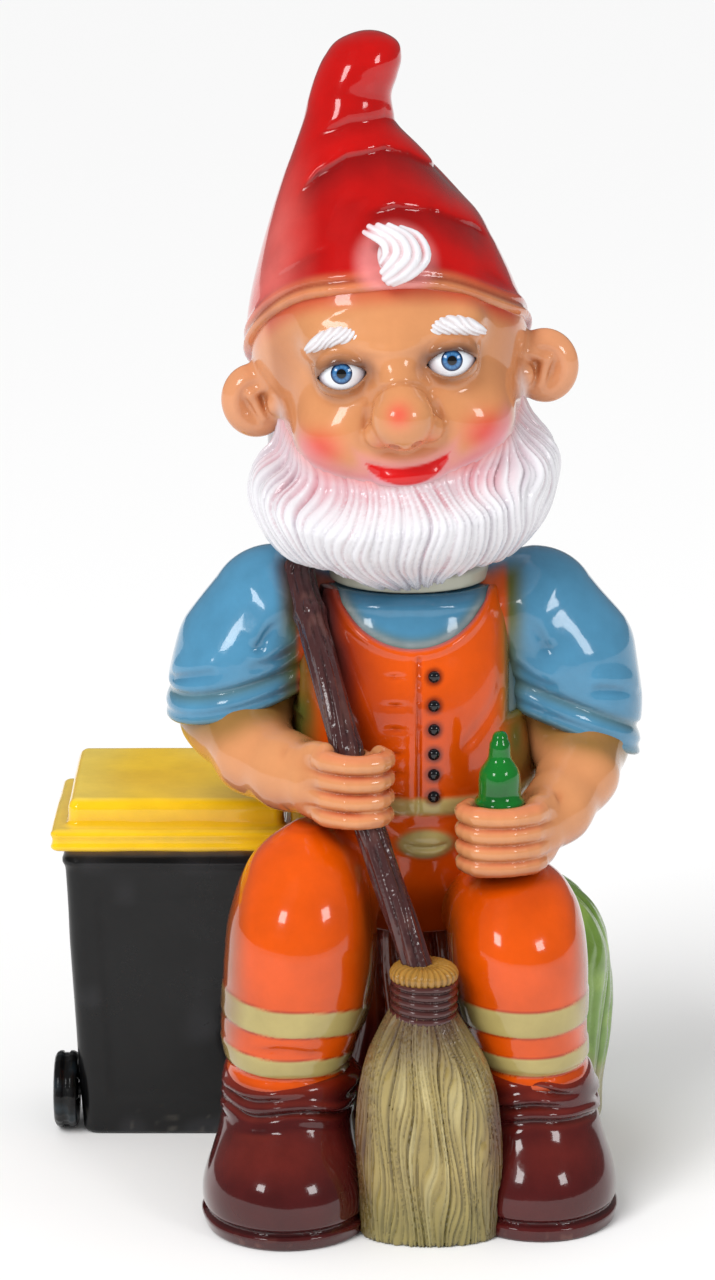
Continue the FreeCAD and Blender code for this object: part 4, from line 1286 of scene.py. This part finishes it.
# ---------------------------------------------------------------- broom and bottle
HANDLE = [
    (-43.5, -14.5, 234.0), (-42.5, -17, 230.0), (-39.5, -26, 220), (-35.5, -37, 207), (-30.5, -47, 191),
    (-26, -54, 176), (-21.5, -59, 160), (-16.5, -65, 146), (-11.5, -71, 132), (-5.5, -77, 117),
    (0, -80.5, 101),
]
BOTTLE = middle("bottle")
BRISTLES = [
    (0, 4.6, -84, 25.2, 14), (16, 4.6, -84, 25.8, 14.5), (42, 3.8, -83.5, 26.2, 14.2),
    (58, 3.2, -83, 24.2, 13.6),
    (68, 2.6, -82.5, 21.2, 13), (78, 1.8, -82, 16.2, 12.2), (86, 1.4, -81.5, 11.5, 11),
]


def handle(p):
    line = curve(HANDLE, 40)
    far, where = to_line(p, line)
    runs = len(line) - 1
    step = np.minimum((where * runs).astype(int), runs - 1)
    part = (where * runs - step)[..., None]
    nearest = line[step] * (1 - part) + line[step + 1] * part
    turn = np.arctan2(p[..., 0] - nearest[..., 0], -(p[..., 1] - nearest[..., 1]))
    around = turn * 5.6
    grooves = 0.9 * strands(around + 1.8 * np.sin(where * 14.0), 4.4)
    grooves = grooves + 0.35 * strands(around + where * 9.0, 1.76)
    knots = 0.8 * ridge(where - 0.20, 0.018) + 0.7 * ridge(where - 0.50, 0.02)
    return shared(far - 4.5 - grooves - knots, p[..., 2] - 237.6, 1.0)


def handle_colours(p, n):
    deep = hollowness(handle, p, n, 1.8)
    return mist(
        base(p, HANDLE_BROWN),
        (HANDLE_SHADE, 1.1 * deep),
        (HANDLE_LIGHT, 0.35 * fade(noise(p * (1, 1, 0.3), 3.0, 4), 0.2, 0.8)),
    )


def twig_collar(p):
    low, high = node_box("broom_collar")
    x, y, z = (low + high) / 2
    ring = np.hypot(p[..., 0] - x, (p[..., 1] - y) * 1.05)
    turn = np.arctan2(p[..., 1] - y, p[..., 0] - x)
    form = np.hypot(np.maximum(ring - 7.4, 0), (p[..., 2] - z) * 1.3) - 4.3
    return form - 0.9 * strands(turn * 12.0 + noise(p, 5.0, 1), 2.6)


def binding(p):
    low, high = node_box("broom_binding")
    x, y, _ = (low + high) / 2
    form = upright(p, (x, y), 11.2, low[2] - 1, high[2] + 1, 1)
    turn = np.arctan2(p[..., 1] - y, p[..., 0] - x)
    wraps = strands(p[..., 2] + 1.4 * turn / math.pi + 0.4 * noise(p, 8.0, 2), 3.1)
    return form - 1.2 * wraps


def bristle_flow(p):
    z = p[..., 2]
    u = (p[..., 0] - table(z, BRISTLES, 1)) / table(z, BRISTLES, 3)
    v = (p[..., 1] - table(z, BRISTLES, 2)) / table(z, BRISTLES, 4)
    around = np.arctan2(u, -v) * 22.0
    wander = 1.3 * noise(at(around * 1.5, z * 0.12, v), 5.0, 3)
    return around + wander + 1.3 * np.sin(z / 9.0 + around * 0.3)


def bristles(p):
    form = stacked(p, BRISTLES, 2.0)
    u = bristle_flow(p)
    form = form + 1.1 - 0.7 * strands(u, 3.7) - 0.9 * strands(u + 0.5 * noise(p, 13.0, 9), 1.55)
    return shared(form, FLOOR - p[..., 2], 0.5)


def bristle_colours(p, n):
    x, y, z = xyz(p)
    deep = hollowness(bristles, p, n, 1.8)
    u = bristle_flow(p)
    return mist(
        base(p, STRAW),
        (STRAW_SHADE, 0.95 * deep),
        (STRAW_LIGHT, 0.55 * fade(noise(at(u * 3, y, z * 0.2), 5.0, 2), 0.1, 0.7)),
        (HANDLE_BROWN, mottled(p, 0.7 * fade(z, 58, 84))),
        (MAROON, mottled(p, 0.75 * fade(np.abs(x - 4), 17, 26))),
        (OLIVE, 0.35 * fade(z, 30, 5)),
    )


def grooved_colours(field, light, dark):
    def colours(p, n):
        return mist(base(p, light), (dark, 1.1 * hollowness(field, p, n, 1.6)))
    return colours


def bottle_mesh():
    low, high = node_box("bottle")
    profile = [
        (0, low[2]), (7.0, low[2]), (7.2, 156.2), (8.2, 156.4), (9.1, 157.0), (9.2, 157.9), (8.6, 158.8),
        (7.8, 159.6), (7.6, 162), (7.6, 165.5), (7.3, 168.4), (6.6, 170.4), (5.4, 172.2), (4.5, 173.6),
        (4.1, 175.2), (4.0, 177.6), (3.8, 179.6), (3.2, 180.6), (2.9, 181.6), (2.7, 182.6), (2.0, 183.6),
        (1.1, 184.0), (0, high[2]),
    ]
    points, faces = lathe(profile, 56)
    dent = 0.25 * noise(points, 6.0, 4)
    points[:, :2] *= (1 + dent / 8)[:, None]
    return points + (BOTTLE[0], BOTTLE[1], 0), faces


# ---------------------------------------------------------------- bin
BIN_LOW, BIN_HIGH = node_box("bin_body")
LID_LOW, LID_HIGH = node_box("bin_lid")
LID_HALF = (LID_HIGH - LID_LOW) / 2


def bin_body(p):
    """A body that narrows to its foot, with a rolled rim and a shallow panel in its front."""
    x, y, z = xyz(p)
    rise = np.clip(z / BIN_HIGH[2], 0, 1)
    inset = 5.6 * (1 - rise)
    centre = (BIN_LOW + BIN_HIGH) / 2
    half = (BIN_HIGH - BIN_LOW) / 2
    past_x, past_y = np.abs(x - centre[0]) - (half[0] - inset), np.abs(y - centre[1]) - (half[1] - inset)
    corner = 6.0
    side = np.hypot(np.maximum(past_x + corner, 0), np.maximum(past_y + corner, 0)) - corner
    side = side + np.minimum(np.maximum(past_x, past_y) + corner, 0)
    panel = fade(-past_x, 10, 14) * fade(z, 12, 18) * fade(z, 102, 96)
    form = side + 0.5 * panel * fade(-np.abs(y - BIN_LOW[1]), -12, -6)
    form = form - 1.1 * ridge(z - 112.5, 1.8) - 0.5 * noise(p, 26.0, 17)
    return shared(form, np.maximum(FLOOR - z, z - BIN_HIGH[2]), 2.5)


def bin_lid(p):
    """A rim with two ribs, and a raised panel that falls a little towards the front."""
    x, y, _ = (LID_LOW + LID_HIGH) / 2
    fall = 0.05 * (LID_HIGH[1] - p[..., 1])
    rim_low, rim_high, top = LID_LOW[2] - 0.5, LID_LOW[2] + 8.0, LID_HIGH[2] + 2.7
    wide, deep, _ = LID_HALF
    rim = block(p, (x, y, (rim_low + rim_high) / 2), (wide, deep, (rim_high - rim_low) / 2), 2.6)
    lifted = at(p[..., 0], p[..., 1], p[..., 2] + fall)
    panel = block(
        lifted, (x, y + 1.5, (rim_low + top) / 2), (wide - 6.0, deep - 4.0, (top - rim_low) / 2), 4.0
    )
    form = join(rim, panel, 3.0)
    ribs = ridge(p[..., 2] - rim_high + 1.4, 1.1) + ridge(p[..., 2] - rim_low - 1.6, 1.2)
    form = form - 0.9 * ribs * fade(rim, 3, 0) - 0.3 * noise(p, 18.0, 19)
    return carve(carve(form, torso(p), 1.5), arm_over_bin(p), 1.5)


def arm_over_bin(p):
    return chain(p, ARM["right"], 8.0)


def bin_colours(p, n):
    dust = fade(noise(p, 2.5, 7), 0.5, 0.85) * fade(p[..., 2], 14, 3)
    return mist(
        base(p, BLACK),
        (BIN_GREY, 0.35 * fade(noise(p, 14, 3), 0.2, 0.8)),
        (DUST, 0.4 * dust),
        (YELLOW_SHADE, mottled(p, 0.4 * fade(p[..., 2], 115, 119))),
        (BIN_BROWN, 0.6 * fade(stacked(p, LEG["right"], 2.5), 9, 1)),
    )


def lid_colours(p, n):
    deep = hollowness(bin_lid, p, n, 3.0)
    hip = np.minimum(torso(p), capsule(p, *THIGH["right"]))
    return mist(
        base(p, YELLOW),
        (YELLOW_SHADE, 0.9 * deep + 0.3 * fade(noise(p, 24, 5), 0, 0.8)),
        # painted light: paler yellow in patches on surfaces that face up
        (LID_TOP_HIGHLIGHT, 0.45 * fade(n[..., 2], 0.7, 1.0) * fade(noise(p, 30, 8), -0.4, 0.6)),
        (LID_GREEN, mottled(p, 0.6 * fade(arm_over_bin(p), 16, 2))),
        (ORANGE, mottled(p, 0.85 * fade(hip, 8, 1))),
    )


def wheel_mesh(name):
    """A moulded wheel with a ribbed tread, a dished web and a hub cap, turned about X."""
    low, high = node_box("bin_wheel_" + name)
    half, radius = (high[0] - low[0]) / 2, (high[2] - low[2]) / 2
    profile = [
        (0, half), (3.6, half), (4.2, half - 0.5), (4.6, half - 1.6), (9.6, half - 1.8), (10.6, half - 0.5),
        (radius - 1.8, half), (radius - 0.6, half - 0.7), (radius, half - 1.8), (radius, 1.4),
        (radius - 0.7, 1.0),
    ]
    profile = [(r, -h) for r, h in profile] + profile[::-1]
    points, faces = lathe(profile, 72)
    turn = np.arctan2(points[:, 1], points[:, 0])
    tread = 1 - 0.025 * (np.hypot(points[:, 0], points[:, 1]) > radius - 1) * (np.cos(turn * 24) > 0.3)
    points[:, :2] *= tread[:, None]
    turned = at(points[:, 2], points[:, 0], points[:, 1])
    return turned + WHEEL_MIDDLE[name], faces


# ---------------------------------------------------------------- putting it together
def build_head():
    skin = lacquer("skin_lacquer", mottle=0.06, peel=0.1)
    hair = lacquer("hair_lacquer", rough=(0.2, 0.36), mottle=0.05, grain=(900, 900, 90), grain_depth=0.3)
    red = lacquer("hat_lacquer", rough=(0.1, 0.22), mottle=0.12)
    sculpt(["head_shell"], face, face_colours, skin, 0.85, body="head")
    sculpt(["beard"], beard, hair_colours(beard), hair, 0.7, 7.0, body="head")
    sculpt(["back_hair"], back_hair, hair_colours(back_hair), hair, 0.9, body="head")
    sculpt(["hat"], hat, hat_colours, red, 0.9, 5.0, body="head")
    sculpt(["forelock"], forelock, forelock_colours, hair, 0.4, 6.0, body="head")
    glass = lacquer("eye_gloss", rough=(0.03, 0.06), coat=1.0, peel=0.0, mottle=0.02)
    for side in SIDES:
        brow = eyebrow(side)
        sculpt(["eyebrow_" + side], brow, eyebrow_colours(brow), hair, 0.4, 5.0, body="head")
        points, faces, tint = eye_mesh(side)
        make_object(["eye_" + side], points, faces, tint, glass, "head")


def build_clothes():
    blue = lacquer("shirt_lacquer", rough=(0.12, 0.26))
    orange = lacquer("overalls_lacquer", rough=(0.12, 0.24))
    sculpt(["shirt", "overalls"], shirt, shirt_colours, blue, 1.1)
    sculpt(["overalls"], overalls, overalls_colours, orange, 0.9)
    points, faces = buttons_mesh()
    black = lacquer("button_lacquer", rough=(0.08, 0.15), peel=0.05)
    make_object(["bib_buttons"], points, faces, base(points, BUTTON_BLACK), black, "figure")
    skin = lacquer("hand_lacquer", mottle=0.06, peel=0.1)
    leather = lacquer("boot_lacquer", rough=(0.1, 0.24), mottle=0.2)
    for side in SIDES:
        arm, hand, leg, shoe = sleeve(side), forearm(side), trouser_leg(side), boot(side)
        sculpt(["sleeve_" + side], arm, sleeve_colours(side, arm), blue, 0.9, 6.0)
        sculpt(["forearm_" + side], hand, forearm_colours(side, hand), skin, 0.7, 5.0)
        sculpt(["trouser_leg_" + side], leg, leg_colours(side, leg), orange, 0.9, 9.0)
        sculpt(["boot_" + side], shoe, boot_colours(shoe), leather, 0.9, 4.0)


def build_props():
    wood = lacquer("handle_lacquer", rough=(0.1, 0.25), grain=(500, 500, 60))
    straw = lacquer(
        "straw_lacquer", rough=(0.16, 0.34), mottle=0.15, grain=(1200, 1200, 60), grain_depth=0.3
    )
    cord = lacquer("cord_lacquer", rough=(0.15, 0.3), grain=(200, 200, 900))
    moss = lacquer("moss_lacquer", rough=(0.2, 0.4), mottle=0.2)
    plastic = lacquer("bin_lacquer", rough=(0.25, 0.45), coat=0.3, mottle=0.3)
    yellow = lacquer("lid_lacquer", rough=(0.12, 0.26), mottle=0.08)
    sculpt(["broom_handle"], handle, handle_colours, wood, 0.6, 5.0)
    twigs = grooved_colours(twig_collar, OCHRE, STRAW_SHADE)
    wraps = grooved_colours(binding, BINDING_BROWN, BINDING_SHADE)
    sculpt(["broom_collar"], twig_collar, twigs, straw, 0.45)
    sculpt(["broom_binding"], binding, wraps, cord, 0.45)
    sculpt(["broom_bristles"], bristles, bristle_colours, straw, 0.5)
    sculpt(["stump_seat"], stump, stump_colours, moss, 1.1)
    sculpt(["bin_body"], bin_body, bin_colours, plastic, 1.2, 3.0)
    sculpt(["bin_lid"], bin_lid, lid_colours, yellow, 0.9, 3.0)
    points, faces = bottle_mesh()
    green = lacquer("bottle_lacquer", rough=(0.06, 0.16), mottle=0.15)
    shade = mist(base(points, GREEN), (GREEN_SHADE, 0.5 * fade(noise(points, 7, 2), -0.2, 0.8)))
    make_object(["bottle"], points, faces, shade, green, "figure")
    for name in ("outer", "inner"):
        points, faces = wheel_mesh(name)
        tint = mist(base(points, BLACK), (TYRE_GREY, 0.4 * fade(noise(points, 5, 2), 0, 0.8)))
        make_object(["bin_wheel_" + name], points, faces, tint, plastic, "figure")


def plain_plastic(name, tint, rough):
    """Unpainted moulded plastic with faint flow marks, for CAD pieces that show as they are."""
    material = lacquer(name, rough=rough, coat=0.1, peel=0.2)
    tree = material.node_tree
    paint = next(n for n in tree.nodes if n.type == "VERTEX_COLOR")
    flow = node(tree, "ShaderNodeTexNoise", Scale=120.0, Detail=4.0)
    ramp = node(tree, "ShaderNodeMix", data_type="RGBA")
    ramp.inputs["A"].default_value = (*tint, 1)
    ramp.inputs["B"].default_value = (*(tint * 0.75), 1)
    tree.links.new(flow.outputs["Fac"], ramp.inputs["Factor"])
    target = paint.outputs["Color"].links[0].to_socket
    tree.links.new(ramp.outputs["Result"], target)
    return material


def dress_kept_nodes():
    """The CAD pieces whose shape is right get a plastic of their own."""
    kept = (("fill_hole_stopper", STOPPER_WHITE, (0.35, 0.5)), ("bin_axle", AXLE_GREY, (0.2, 0.35)))
    for name, tint, rough in kept:
        mesh = frame["nodes"][name].data
        mesh.materials.clear()
        mesh.materials.append(plain_plastic(name + "_plastic", tint, rough))


# ---------------------------------------------------------------- stage, light and camera (in metres)
CAMERA_PLACE = np.array([-0.022, -1.4, 0.560])
CAMERA_TARGET = np.array([-0.022, 0.0, 0.203])
CAMERA_LENS = 108.4
LIGHTS_FACE = np.array([-0.02, 0.0, 0.2])


def add_light(name, kind, place, power, size):
    """A soft light that faces the figure's middle. Its size is an angle for a sun, or a width."""
    light = bpy.data.lights.new(name, kind)
    light.energy = power
    if kind == "AREA":
        light.size = size
    else:
        light.angle = size
    lamp = bpy.data.objects.new(name, light)
    lamp.visible_glossy = kind == "AREA"         # only the small windows show in the gloss
    lamp.location = place
    lamp.rotation_euler = vector_to_euler(LIGHTS_FACE - np.array(place))
    bpy.context.scene.collection.objects.link(lamp)


def vector_to_euler(direction):
    """The rotation that points an object's -Z along a direction, with its Y up."""
    x, y, z = direction / np.linalg.norm(direction)
    return (math.acos(-z), 0.0, math.atan2(x, -y) + math.pi)


def set_stage():
    mesh = bpy.data.meshes.new("floor")
    mesh.from_pydata([(-20, -20, 0), (20, -20, 0), (20, 20, 0), (-20, 20, 0)], [], [(0, 1, 2, 3)])
    floor = bpy.data.objects.new("floor", mesh)
    bpy.context.scene.collection.objects.link(floor)
    material = bpy.data.materials.new("floor_paper")
    material.use_nodes = True
    tree = material.node_tree
    shader = tree.nodes["Principled BSDF"]
    fibre = node(tree, "ShaderNodeTexNoise", Scale=6.0, Detail=6.0)
    tone = node(tree, "ShaderNodeMapRange", To_Min=0.91, To_Max=0.95)
    tree.links.new(fibre.outputs["Fac"], tone.inputs["Value"])
    tree.links.new(tone.outputs["Result"], shader.inputs["Base Color"])
    shader.inputs["Roughness"].default_value = 0.9
    mesh.materials.append(material)

    world = bpy.data.worlds.new("studio")
    bpy.context.scene.world = world
    world.use_nodes = True
    tree = world.node_tree
    background = tree.nodes["Background"]
    background.inputs["Color"].default_value = (1.0, 1.0, 1.0, 1.0)
    path = node(tree, "ShaderNodeLightPath")
    strength = node(tree, "ShaderNodeMapRange", To_Min=0.66, To_Max=0.15)
    tree.links.new(path.outputs["Is Glossy Ray"], strength.inputs["Value"])
    tree.links.new(strength.outputs["Result"], background.inputs["Strength"])
    add_light("daylight", "SUN", (-0.7, -0.8, 1.5), 1.7, math.radians(28.0))
    add_light("window", "AREA", (-0.9, -1.2, 0.9), 4.0, 0.35)
    add_light("second_window", "AREA", (1.0, -1.1, 0.8), 3.5, 0.35)
    view = bpy.context.scene.view_settings
    view.view_transform = "Standard"
    view.look = "None"
    view.exposure = 0.0


def set_camera():
    """The camera looks down on the figure from the front, at the photograph's angle."""
    camera = bpy.data.cameras.new("camera")
    camera.lens = CAMERA_LENS
    camera.sensor_width = 36.0
    holder = bpy.data.objects.new("camera", camera)
    holder.location = CAMERA_PLACE
    holder.rotation_euler = vector_to_euler(CAMERA_TARGET - CAMERA_PLACE)
    bpy.context.scene.collection.objects.link(holder)
    bpy.context.scene.camera = holder


set_stage()
set_camera()
build_head()
build_clothes()
build_props()
dress_kept_nodes()
